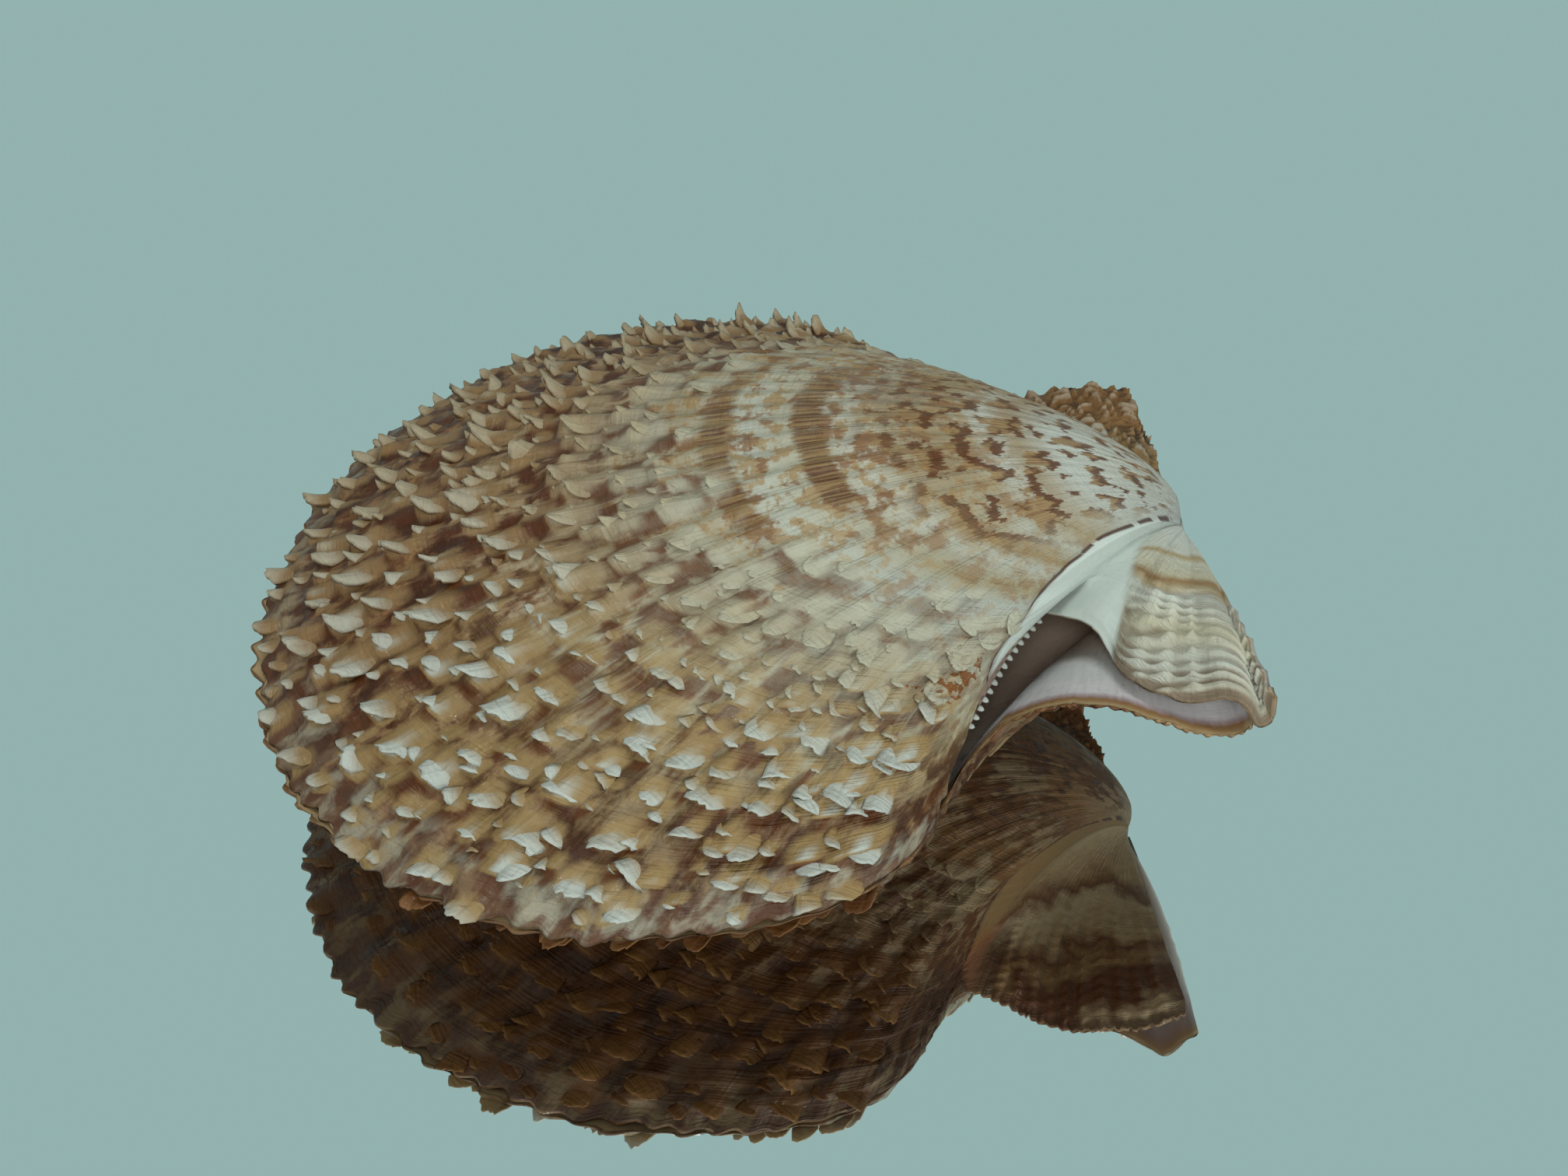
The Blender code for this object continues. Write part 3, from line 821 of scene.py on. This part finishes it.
def fade(value, low, high):   # 0 below low, 1 above high
    return addValue(value.tree, "ShaderNodeMapRange", 0, {0: value, 1: low, 2: high},
                    interpolation_type='SMOOTHSTEP')


def blend(amount, first, second, way='MIX'):
    return addValue(amount.tree, "ShaderNodeMix", 2, {0: amount, 6: first, 7: second},
                    data_type='RGBA', blend_type=way)


def layered(colour, *coats):   # each coat is where it lies, then its colour
    for where, paint in coats:
        colour = blend(where, colour, paint)
    return colour


def rampOf(value, stops):
    made = addNode(value.tree, "ShaderNodeValToRGB", {0: value})
    ramp = made.color_ramp
    while len(ramp.elements) < len(stops):
        ramp.elements.new(0.5)
    for element, (position, _) in zip(ramp.elements, stops):   # first, as a ramp sorts itself
        element.position = position
    for element, (_, colour) in zip(ramp.elements, stops):
        element.color = colour
    return Value(made.outputs["Color"])


def objectSpot(tree):
    return addValue(tree, "ShaderNodeTexCoord", "Object")


def noise(vector, scale=1.0, detail=2.0, rough=0.5):
    return addValue(vector.tree, "ShaderNodeTexNoise", "Fac", {
        "Vector": vector, "Scale": scale, "Detail": detail, "Roughness": rough})


def grownNoise(across, growth, acrossScale, growthScale, shift, **look):   # follows the growth
    vector = addValue(growth.tree, "ShaderNodeCombineXYZ", 0, {
        0: across * acrossScale, 1: growth * growthScale, 2: shift})
    return noise(vector, **look)


def newGroup(name, inputs, outputs):
    tree = bpy.data.node_groups.new(name, "ShaderNodeTree")
    for way, labels in (('INPUT', inputs), ('OUTPUT', outputs)):
        for label in labels:
            kind = "NodeSocketColor" if label in ("Colour", "Foot", "Lip") else "NodeSocketFloat"
            tree.interface.new_socket(name=label, in_out=way, socket_type=kind)
    given = addNode(tree, "NodeGroupInput").outputs
    return tree, [Value(given[label]) for label in inputs]


def growthMarksGroup():   # the marks that a shell lays down as it grows
    tree, (across, growth, jag, shift) = newGroup(
        "growthMarks", ("Across", "Growth", "Jag", "Shift"),
        ("Jagged Growth", "Threads", "Patches", "Flames", "Flames Before", "Lines"))
    wide = grownNoise(across, growth, 0.3, 6.0, shift)
    jagged = grownNoise(across, growth, 7.0, 9.0, shift, detail=3, rough=0.6)
    bent = growth + ((wide - 0.5) * 0.7 + (jagged - 0.5)) * jag
    further = shift + 3.1
    addNode(tree, "NodeGroupOutput", {
        "Jagged Growth": bent,
        "Threads": grownNoise(across, growth, 9.0, 11.0, shift, detail=3),
        "Patches": grownNoise(across, bent, 0.8, 30.0, shift, detail=4, rough=0.6),
        "Flames": grownNoise(across, bent, 0.7, 38.0, further, detail=3),
        "Flames Before": grownNoise(across, bent - 0.012, 0.7, 38.0, further, detail=3),
        "Lines": grownNoise(across, growth, 0.9, 260.0, shift)})
    return tree


def chalkGrainGroup():   # the fine tooth of the surface and how dull it is
    tree, (lines, threads, smooth, dull, glossy) = newGroup(
        "chalkGrain", ("Lines", "Threads", "Smooth", "Dull", "Glossy"), ("Height", "Roughness"))
    spot = objectSpot(tree)
    grain = noise(spot, scale=1900.0, detail=3, rough=0.6)
    pits = fade(noise(spot, scale=700.0), 0.3, 0.45)
    marks = lines * 0.8 + threads * 0.9
    tooth = grain * 0.5 + pits * 0.3
    wet = fade(noise(spot, scale=520.0, detail=3), 0.52, 0.64)
    addNode(tree, "NodeGroupOutput", {
        "Height": (marks + tooth) * (1 - smooth),
        "Roughness": calc('SUBTRACT', dull, wet * glossy, clamp=True)})
    return tree


def scaleTintGroup():   # a scale goes from stained foot to white lip
    tree, (ground, tip, variety, foot, lip, whiteness) = newGroup(
        "scaleTint", ("Colour", "Tip", "Variety", "Foot", "Lip", "Whiteness"), ("Colour",))
    uneven = noise(objectSpot(tree), scale=620.0, detail=3) - 0.5
    varied = tip + (uneven * 0.35 + (variety - 0.5) * 0.3)
    present = fade(tip, 0.0, 0.1)
    stained = fade(varied, 0.05, 0.35) * present * 0.8
    whitened = fade(varied, 0.4, 0.85) * present * whiteness
    addNode(tree, "NodeGroupOutput",
            {"Colour": layered(ground, (stained, foot), (whitened, lip))})
    return tree


groups = {"marks": growthMarksGroup(), "grain": chalkGrainGroup(), "tint": scaleTintGroup()}

# Colours run from the beak, at 0, to the margin, at 1.
rightLook = mixPaints({
    "front": [(0.0, 208, 210, 204), (0.2, 200, 198, 186), (0.27, 182, 164, 134),
              (0.31, 194, 190, 174), (0.355, 170, 148, 112), (0.38, 194, 192, 178),
              (0.43, 172, 156, 124), (0.47, 186, 186, 174), (0.56, 182, 178, 160),
              (0.64, 194, 188, 166), (0.7, 196, 188, 164), (0.8, 172, 150, 112),
              (0.9, 122, 90, 60), (0.96, 118, 92, 70), (1.0, 132, 108, 88)],
    "middle": [(0.0, 212, 214, 208), (0.1, 202, 198, 184), (0.2, 206, 206, 196),
               (0.24, 176, 158, 130), (0.265, 202, 200, 188), (0.3, 176, 156, 124),
               (0.36, 182, 166, 138), (0.39, 200, 194, 176), (0.455, 196, 188, 166),
               (0.485, 200, 198, 182), (0.55, 186, 170, 142), (0.62, 196, 180, 150),
               (0.7, 192, 168, 130), (0.8, 124, 80, 42), (0.92, 104, 64, 34), (1.0, 136, 108, 84)],
    "ear": [(0.0, 218, 218, 210), (0.24, 214, 212, 198), (0.275, 182, 156, 112),
            (0.31, 212, 206, 186), (0.4, 206, 196, 168), (0.435, 162, 124, 80),
            (0.475, 196, 176, 140), (0.52, 216, 216, 204), (0.62, 212, 208, 190),
            (0.7, 204, 194, 168), (0.86, 210, 208, 194), (1.0, 200, 190, 168)],
    "inside": [(0.0, 238, 222, 206), (0.76, 230, 222, 214), (0.87, 186, 168, 164),
               (0.95, 150, 124, 114), (0.98, 160, 122, 86), (1.0, 178, 148, 108)],
    "brown": (100, 52, 20), "mauve": (104, 62, 42), "ochre": (176, 140, 92),
    "flame": (146, 104, 72), "dark": (66, 28, 8), "ramp": (200, 194, 172),
    "greyMauve": (146, 126, 118), "thorn": (204, 184, 148), "marginTone": (118, 86, 72),
    "foot": (172, 140, 92), "lip": (204, 206, 198), "band": (214, 220, 212),
    "seam": (84, 52, 42), "fold": (120, 88, 60), "strip": (150, 110, 98),
    "backEar": (146, 114, 74), "backDark": (78, 56, 42), "edge": (148, 104, 62),
    "rust": (136, 70, 0), "rusting": 0.85,
    "flames": 0.53, "flameEnd": 0.4,      # how few flames, and the growth at which they stop
    "litFrom": 0.55, "whiteness": 0.95, "earMottle": 0.09,
    "thinness": 0.14,                     # how much light comes through
    "jag": 0.02, "shift": 1.7,            # how uneven the growth lines are, and which noise
})

leftLook = dict(rightLook, **mixPaints({
    "front": [(0.0, 185, 163, 131), (0.2, 146, 103, 62), (0.3, 107, 65, 33), (0.42, 143, 99, 56),
              (0.55, 94, 53, 25), (0.7, 116, 70, 34), (0.85, 86, 46, 22), (1.0, 128, 91, 59)],
    "middle": [(0.0, 185, 163, 131), (0.15, 131, 89, 53), (0.27, 98, 57, 28), (0.4, 126, 82, 44),
               (0.52, 90, 49, 23), (0.66, 111, 66, 31), (0.82, 79, 42, 19), (1.0, 124, 86, 55)],
    "ear": [(0.0, 186, 158, 120), (0.3, 166, 132, 92), (0.4, 112, 66, 32), (0.46, 186, 158, 120),
            (0.6, 172, 138, 96), (0.66, 110, 62, 28), (0.72, 156, 116, 72), (0.8, 100, 52, 20),
            (0.9, 108, 58, 24), (0.96, 184, 150, 112), (1.0, 196, 164, 126)],
    "inside": [(0.0, 236, 198, 174), (0.6, 236, 214, 198), (0.74, 234, 232, 230),
               (0.93, 222, 214, 216), (0.955, 176, 152, 152), (0.972, 150, 108, 66),
               (1.0, 176, 148, 110)],
    "brown": (75, 38, 17), "mauve": (71, 38, 22), "ochre": (120, 70, 28), "flame": (94, 52, 25),
    "dark": (56, 27, 12), "ramp": (164, 136, 100), "thorn": (160, 124, 82),
    "greyMauve": (98, 68, 45), "foot": (111, 65, 28), "lip": (158, 108, 56),
    "band": (142, 108, 68), "fold": (86, 48, 23), "strip": (139, 86, 55),
    "backEar": (133, 86, 42), "backDark": (71, 40, 22), "rusting": 0.0,
    "flames": 0.48, "flameEnd": 0.7, "litFrom": 0.12, "whiteness": 0.7, "earMottle": 0.34,
    "shift": 8.3}))

finish = {
    "outerWarmth": (0.86, 0.67, 0.52, 1), "dull": 0.5, "glossy": 0.26, "specular": 0.28,
    "bumpStrength": 0.8, "bumpDepth": 0.22 * mm,
}

mauveBands = [(0.0, 0.0), (0.3, 0.0), (0.31, 0.25), (0.365, 0.25), (0.37, 0.0), (0.412, 0.0),
              (0.418, 0.95), (0.441, 0.95), (0.447, 0.0), (0.501, 0.0), (0.507, 0.95),
              (0.527, 0.85), (0.536, 0.0), (0.6, 0.0)]   # growth, strength


def readShell(tree, look):   # what the shell's corners say about each spot
    at = SimpleNamespace(spot=objectSpot(tree))
    for key in ("across", "growth", "place", "height", "tip", "inside", "variety", "fromSeam",
                "satin", "shaded", "raised"):
        setattr(at, key, addValue(tree, "ShaderNodeAttribute", "Fac", attribute_name=key))
    marks = addNode(tree, "ShaderNodeGroup", {
        "Across": at.across, "Growth": at.growth, "Jag": look["jag"], "Shift": look["shift"]},
        node_tree=groups["marks"])
    for key, label in (("bent", "Jagged Growth"), ("threads", "Threads"), ("patches", "Patches"),
                       ("flames", "Flames"), ("flamesBefore", "Flames Before"), ("lines", "Lines")):
        setattr(at, key, Value(marks.outputs[label]))
    at.frontness = 1 - fade(at.across, 3.0, 9.0)      # across is in ribs, from the front
    at.pastFront = fade(at.across, 7.0, 12.0)
    at.backness = fade(at.across, 13.0, 21.0)
    at.outward = fade(at.growth, 0.52, 0.72)
    at.banded = bandStrength(at)
    return at


def discGround(at, look):   # cream and tan growth bands, speckled
    mottle = noise(at.spot, scale=780.0, detail=4, rough=0.62)
    cool = grownNoise(at.across, at.growth, 0.3, 6.0, look["shift"] + 3, detail=3)
    begun = fade(at.growth, 0.2, 0.34) * (1 - at.frontness * 0.55)
    ground = blend(at.frontness, rampOf(at.bent, look["middle"]), rampOf(at.bent, look["front"]))
    return layered(
        ground,
        (at.backness * 0.35, look["ochre"]),
        (fade(mottle, 0.48, 0.58) * begun * 0.8, look["ochre"]),
        (fade(at.patches, 0.5, 0.57) * begun * fade(mottle, 0.4, 0.5) * 0.85, look["flame"]),
        (fade(cool, 0.52, 0.66) * fade(at.across, 12.0, 17.0) * 0.35, look["greyMauve"]))


def bandStrength(at):   # the two mauve bands and the faint one before them
    stops = [(stage, (amount, amount, amount, 1)) for stage, amount in mauveBands]
    bands = addValue(at.bent.tree, "ShaderNodeSeparateColor", 0, {0: rampOf(at.bent, stops)})
    broken = fade(grownNoise(at.across, at.growth, 0.5, 3.0, 5.0), 0.36, 0.5)
    return bands * fade(at.across, 6.5, 9.0) * (1 - at.backness * 0.6) * (broken * 0.6 + 0.4)


def bandsAndFlames(at, look, colour):
    stripes = blend(fade(at.threads, 0.36, 0.6) * 0.75, look["mauve"], look["foot"])
    begin, end = look["flames"], look["flameEnd"]
    zone = fade(at.growth, 0.05, 0.1) * (1 - fade(at.growth, end - 0.08, end + 0.03))
    bare = fade(at.across, 0.5, 5.0) - at.backness * 0.15
    more = at.flames + fade(at.growth, 0.2, 0.3) * 0.025
    flame = fade(more, begin, begin + 0.035) * zone * bare
    within = fade(at.flamesBefore, begin - 0.02, begin + 0.05)
    streaked = blend(fade(at.threads, 0.35, 0.6), look["flame"], look["foot"])
    return layered(colour, (at.banded, stripes),
                   (flame * 0.9, blend(within, look["brown"], streaked)))


def outerStainAndShade(at, look, colour):   # dark grime with painted shade where the shell lies low between the raised scale feet, and pale worn patches
    clouds = noise(at.spot, scale=330.0, detail=3)
    fine = grownNoise(at.across, at.bent, 3.0, 24.0, look["shift"] + 2, detail=4, rough=0.6)
    grime = clouds * 0.45 + fine * 0.55
    light = (1 - fade(at.across, 7.0, 11.0)) * (1 - fade(at.growth, 0.72, 0.86)) * 0.75
    grimy = grime + at.pastFront * 0.03
    # dark grime kept off the raised scale feet, so it also paints shade on the low ground between
    # them
    grimeAndShade = (fade(grimy, 0.45, 0.58) * at.outward * (1 - light)
            * (1 - fade(at.raised, 0.35, 0.8)) * 0.9)
    lit = ((1 - fade(grime, 0.42, 0.52)) * fade(at.growth, look["litFrom"], look["litFrom"] + 0.18)
           * (1 - at.banded) * (1 - fade(at.growth, 0.7, 0.84) * 0.9) * 0.75)
    return layered(colour, (grimeAndShade, look["dark"]), (lit, look["ramp"]))


def hollowsAndMargin(at, look, colour):   # brown dashes before the scales with painted shade under their lips, painted shade in the dark hollows, ragged margin
    later = fade(at.growth, 0.55, 0.8)
    # brown dash before each scale, partly the shell's own mark and partly painted shade under the
    # scale's lip
    dashAndShade = fade(at.shaded * (at.threads * 2.2 - 0.15), 0.15, 0.75)
    dashAndShade = dashAndShade * (later * 0.1 + 0.8) * (1 - at.frontness * (1 - later) * 0.5)
    # painted shade: brown wherever the outside lies low between the raised parts, stronger away
    # from the front; partly the shell's own brown
    hollowShade = ((1 - fade(at.height, 0.1, 0.6)) * fade(at.growth, 0.5, 0.8)
               * (at.pastFront * 0.25 + 0.6))
    streaks = grownNoise(at.across, at.growth, 2.6, 20.0, 4.0, detail=4)
    return layered(
        colour,
        (dashAndShade, blend(later, look["mauve"], look["brown"])),
        (hollowShade, look["brown"]),
        (fade(at.bent, 0.935, 0.97) * fade(streaks, 0.36, 0.56) * 0.35, look["marginTone"]),
        (fade(at.growth, 0.92, 0.96) * (1 - fade(streaks, 0.36, 0.54)) * 0.55, look["ramp"]))


def frontEar(at, look, colour):   # the banded, creased ear with painted shade in its creases, the notch's track and its edge
    earGrowth = at.growth - calc('MAXIMUM', at.place - earBend["from"], 0.0) * earBend["share"]
    mottle = noise(at.spot, scale=330.0, detail=4) - 0.5
    # painted shade: the fold colour goes where the ear lies low in its creases, partly the ear's
    # own brown fold lines
    creaseShade = (1 - fade(at.height, 0.3, 0.6)) * fade(earGrowth, 0.3, 0.6)
    ear = blend(creaseShade * 0.75, rampOf(earGrowth + mottle * look["earMottle"], look["ear"]),
                look["fold"])
    beyond = (fade(at.place, 1.0, 1.1) * (1 - fade(at.fromSeam, -0.05, 0.1))
              * fade(at.growth, 0.64, 0.8))
    return layered(colour, (1 - fade(at.fromSeam, -0.12, 0.02), ear), (at.satin, look["band"]),
                   (beyond * 0.85, look["strip"]))


def backEar(at, look, colour):
    uneven = at.height + (noise(at.spot, scale=260.0, detail=3) - 0.5) * 1.2
    ear = layered(look["backDark"], (fade(uneven, 0.25, 0.6), look["backEar"]),
                  (fade(at.height, 0.75, 1.0) * 0.45, look["lip"]))
    return blend(fade(at.place, 3.9, 4.0), colour, ear)


def seamLine(at, look, colour):   # dotted near the beak, then whole
    wander = (noise(at.spot, scale=300.0) - 0.5) * 0.25
    offSeam = calc('ABSOLUTE', at.fromSeam + wander)
    dotted = fade(grownNoise(1.0, at.growth, 1.0, 42.0, 2.0, detail=0), 0.42, 0.46)
    drawn = calc('MAXIMUM', dotted, fade(at.growth, 0.28, 0.33))
    seam = (1 - fade(offSeam, 0.04, 0.17)) * drawn * fade(at.growth, 0.07, 0.1)
    beside = (1 - fade(offSeam, 0.1, 0.9)) * fade(at.growth, 0.4, 0.6) * 0.4
    return layered(colour, (seam * 0.92, look["seam"]), (beside, look["mauve"]))


def scaleTints(at, look, colour):
    paler = fade(at.growth, 0.58, 0.78) * (1 - fade(at.across, 7.0, 16.0) * 0.75)
    warmed = blend(at.pastFront * at.outward * 0.85, colour, finish["outerWarmth"], 'MULTIPLY')
    outerFoot = blend(at.pastFront * 0.5, look["foot"], look["flame"])
    youngLip = blend(at.pastFront, look["ramp"], look["thorn"])
    return addValue(at.tip.tree, "ShaderNodeGroup", "Colour", {
        "Colour": warmed, "Tip": at.tip, "Variety": at.variety,
        "Foot": blend(at.outward, look["ramp"], outerFoot),
        "Lip": blend(paler, youngLip, look["lip"]),
        "Whiteness": paler * 0.4 + (look["whiteness"] - 0.4)}, node_tree=groups["tint"])


def rustAndLining(at, look, colour):
    fromRust = (calc('ABSOLUTE', at.across - 0.1) * 1.6
                + calc('ABSOLUTE', at.growth - 0.64) * 36.0)   # ribs, growth
    rusty = fade(noise(at.spot, scale=1900.0, detail=3) - fromRust * 0.12, 0.37, 0.42)
    lining = blend(fade(at.threads, 0.4, 0.8) * 0.14, rampOf(at.bent, look["inside"]),
                   look["greyMauve"])
    atEdge = fade(at.inside, 0.1, 0.34) * (1 - fade(at.inside, 0.36, 0.6))
    return layered(colour, (rusty * look["rusting"], look["rust"]),
                   (fade(at.inside, 0.5, 0.95), lining), (atEdge * 0.75, look["edge"]))


def newMaterial(name):
    material = bpy.data.materials.new(name)
    material.use_nodes = True
    return material, material.node_tree, material.node_tree.nodes["Principled BSDF"]


def mixShaders(tree, amount, first, second, output="Material Output"):
    mixed = addValue(tree, "ShaderNodeMixShader", 0, {0: amount, 1: first, 2: second})
    setInput(tree.nodes[output], "Surface", mixed)


def addBump(tree, shader, height, strength, depth):
    bump = addValue(tree, "ShaderNodeBump", 0,
                    {"Height": height, "Strength": strength, "Distance": depth})
    setInput(shader, "Normal", bump)


def shellMaterial(name, look):
    material, tree, shader = newMaterial(name)
    at = readShell(tree, look)
    colour = discGround(at, look)
    for paintOver in (bandsAndFlames, outerStainAndShade, hollowsAndMargin, frontEar, backEar, seamLine,
                      scaleTints, rustAndLining):
        colour = paintOver(at, look, colour)

    smooth = calc('MAXIMUM', at.inside * 0.85, at.satin * 0.75)
    grain = addNode(tree, "ShaderNodeGroup", {
        "Lines": at.lines, "Threads": at.threads, "Dull": finish["dull"],
        "Glossy": finish["glossy"], "Smooth": smooth}, node_tree=groups["grain"])
    glint = fade(noise(at.spot, scale=2600.0), 0.55, 0.64) * at.outward
    dull = Value(grain.outputs["Roughness"]) - (smooth * 0.12 + glint * (1 - smooth) * 0.2)
    setInput(shader, "Base Color", colour)
    setInput(shader, "Roughness", dull)
    setInput(shader, "Specular IOR Level", finish["specular"])
    addBump(tree, shader, Value(grain.outputs["Height"]), finish["bumpStrength"],
            finish["bumpDepth"])
    glow = addValue(tree, "ShaderNodeBsdfTranslucent", 0, {"Color": colour})
    thin = (1 - at.inside * 0.7) * look["thinness"]
    mixShaders(tree, thin, Value(shader.outputs[0]), glow)
    return material


ligamentLook = {
    "dark": tone(38, 26, 20), "crust": tone(84, 58, 40), "flakes": 900.0,
    "bumpStrength": 0.8, "bumpDepth": 0.2 * mm,
}


def ligamentMaterial(name, look):
    material, tree, shader = newMaterial(name)
    flakes = noise(objectSpot(tree), scale=look["flakes"], detail=4)
    setInput(shader, "Base Color", blend(fade(flakes, 0.45, 0.7), look["dark"], look["crust"]))
    setInput(shader, "Roughness", flakes * 0.4 + 0.4)
    addBump(tree, shader, flakes, look["bumpStrength"], look["bumpDepth"])
    return material


for shape, look in ((rightShape, rightScales), (leftShape, leftScales)):
    shape["margin"] = marginOf(shape)
    look["rows"] = scaleRows(shape, look)
    look["kinds"] = np.random.default_rng(look["seed"] + 4).uniform(0, 1, len(look["rows"]))
print("growth lines worked out")

rightFinish = shellMaterial("rightValveShell", rightLook)
leftFinish = shellMaterial("leftValveShell", leftLook)
print("finishes mixed")

for label, shape, look, shell in (("right", rightShape, rightScales, rightFinish),
                                  ("left", leftShape, leftScales, leftFinish)):
    body = makeValve(label + "Valve", shape, look, shell)
    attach(body, "root")
    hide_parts(label + "_valve")
    label + "_valve"
    print(label, "valve made:", len(body.data.polygons), "faces")
    scales = makeScales(label + "Scales", shape, look, shell)
    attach(scales, "root")
    label + "_valve"
    print(label, "scales made:", len(scales.data.polygons), "faces")

comb = makeComb("rightComb", rightShape, combTeeth, rightFinish)
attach(comb, "root")
print("comb teeth made:", combTeeth["count"])

pad = frame["nodes"]["hinge_ligament"]
pad.data.materials.clear()
pad.data.materials.append(ligamentMaterial("driedLigament", ligamentLook))
print("hinge pad finished")

studio = {
    "floorSize": 1.6, "floor": tone(150, 182, 178), "floorRoughness": 0.6,     # metres
    "polish": 0.985, "polishTint": tone(240, 242, 242), "floorBlur": 0.01,
    "room": tone(228, 236, 230), "fill": 0.3,
    "backdrop": tone(145, 174, 171), "mirrored": 1.2,
    "cameraFromHinge": (-33.67, -99.08, 67.24),   # mm
    "pitch": 36.0, "heading": -2.09,              # degrees
    "lens": 36.0, "sensor": 36.0,                 # mm
    "nearest": 0.005, "furthest": 10,             # metres
    "lampTint": (0.88, 1.0, 0.99),
}

lamps = [   # name, place, what it points at, size in metres, watts
    ("overhead", (-0.04, -0.02, 0.50), (0, 0, 0.01), 0.18, 0.72),
    ("frontKey", (0.12, -0.40, 0.20), (0, 0, 0.01), 0.2, 0.56),
    ("deepFill", (-0.045, -0.293, 0.24), (0.024, -0.002, 0.005), 0.05, 0.26),
    ("notchFill", (0.30, -0.24, 0.05), (0.02, 0, 0.01), 0.1, 0.4),
    ("floorBounce", (-0.14, -0.24, -0.26), (-0.01, 0, 0.01), 0.3, 0.36),
]


def makeFloor(look):   # pale glass that mirrors the underside
    bpy.ops.mesh.primitive_plane_add(size=look["floorSize"])
    floor = bpy.context.object
    floor.name = "floor"
    material, tree, shader = newMaterial("paleGlass")
    setInput(shader, "Base Color", look["floor"])
    setInput(shader, "Roughness", look["floorRoughness"])
    gloss = addValue(tree, "ShaderNodeBsdfGlossy", 0,
                     {"Color": look["polishTint"], "Roughness": look["floorBlur"]})
    mixShaders(tree, look["polish"], Value(shader.outputs[0]), gloss)
    floor.data.materials.append(material)


def makeLamp(look, lit, name, place, target, size, power):
    lamp = bpy.data.lights.new(name, 'AREA')
    lamp.shape, lamp.size, lamp.energy = 'SQUARE', size, power
    lamp.color = look["lampTint"]
    light = bpy.data.objects.new(name, lamp)
    light.location = place
    light.rotation_euler = (Vector(target) - Vector(place)).to_track_quat('-Z', 'Y').to_euler()
    light.visible_camera = False
    light.light_linking.receiver_collection = lit    # so the floor doesn't mirror the lamp
    light.light_linking.blocker_collection = lit
    bpy.context.scene.collection.objects.link(light)


def makeWorld(look):   # soft light on the shell, and a plain backdrop where the camera sees it
    world = bpy.data.worlds.new("softRoom")
    bpy.context.scene.world = world
    world.use_nodes = True
    tree = world.node_tree
    path = addNode(tree, "ShaderNodeLightPath").outputs
    glossy = Value(path["Is Glossy Ray"])
    direct = 1 - calc('MINIMUM', Value(path["Diffuse Depth"]), 1.0)
    seen = calc('ADD', Value(path["Is Camera Ray"]), glossy * direct, clamp=True)
    room = tree.nodes["Background"]
    setInput(room, "Color", look["room"])
    setInput(room, "Strength", look["fill"])
    backdrop = addValue(tree, "ShaderNodeBackground", 0, {
        "Color": look["backdrop"],
        "Strength": calc('ADD', 1.0, glossy * (look["mirrored"] - 1))})
    mixShaders(tree, seen, Value(room.outputs[0]), backdrop, output="World Output")


def makeCamera(look):
    lens = bpy.data.cameras.new("camera")
    lens.lens, lens.sensor_width = look["lens"], look["sensor"]
    lens.clip_start, lens.clip_end = look["nearest"], look["furthest"]
    camera = bpy.data.objects.new("camera", lens)
    camera.location = hinge + Vector(look["cameraFromHinge"]) * mm
    camera.rotation_euler = (math.radians(90 - look["pitch"]), 0, math.radians(look["heading"]))
    bpy.context.scene.collection.objects.link(camera)
    bpy.context.scene.camera = camera


litPieces = bpy.data.collections.new("litPieces")
for piece in list(bpy.context.scene.objects):
    if piece.type == 'MESH':
        litPieces.objects.link(piece)
makeFloor(studio)
for lamp in lamps:
    makeLamp(studio, litPieces, *lamp)
makeWorld(studio)
makeCamera(studio)
bpy.context.scene.view_settings.view_transform = 'Standard'
print("studio set")
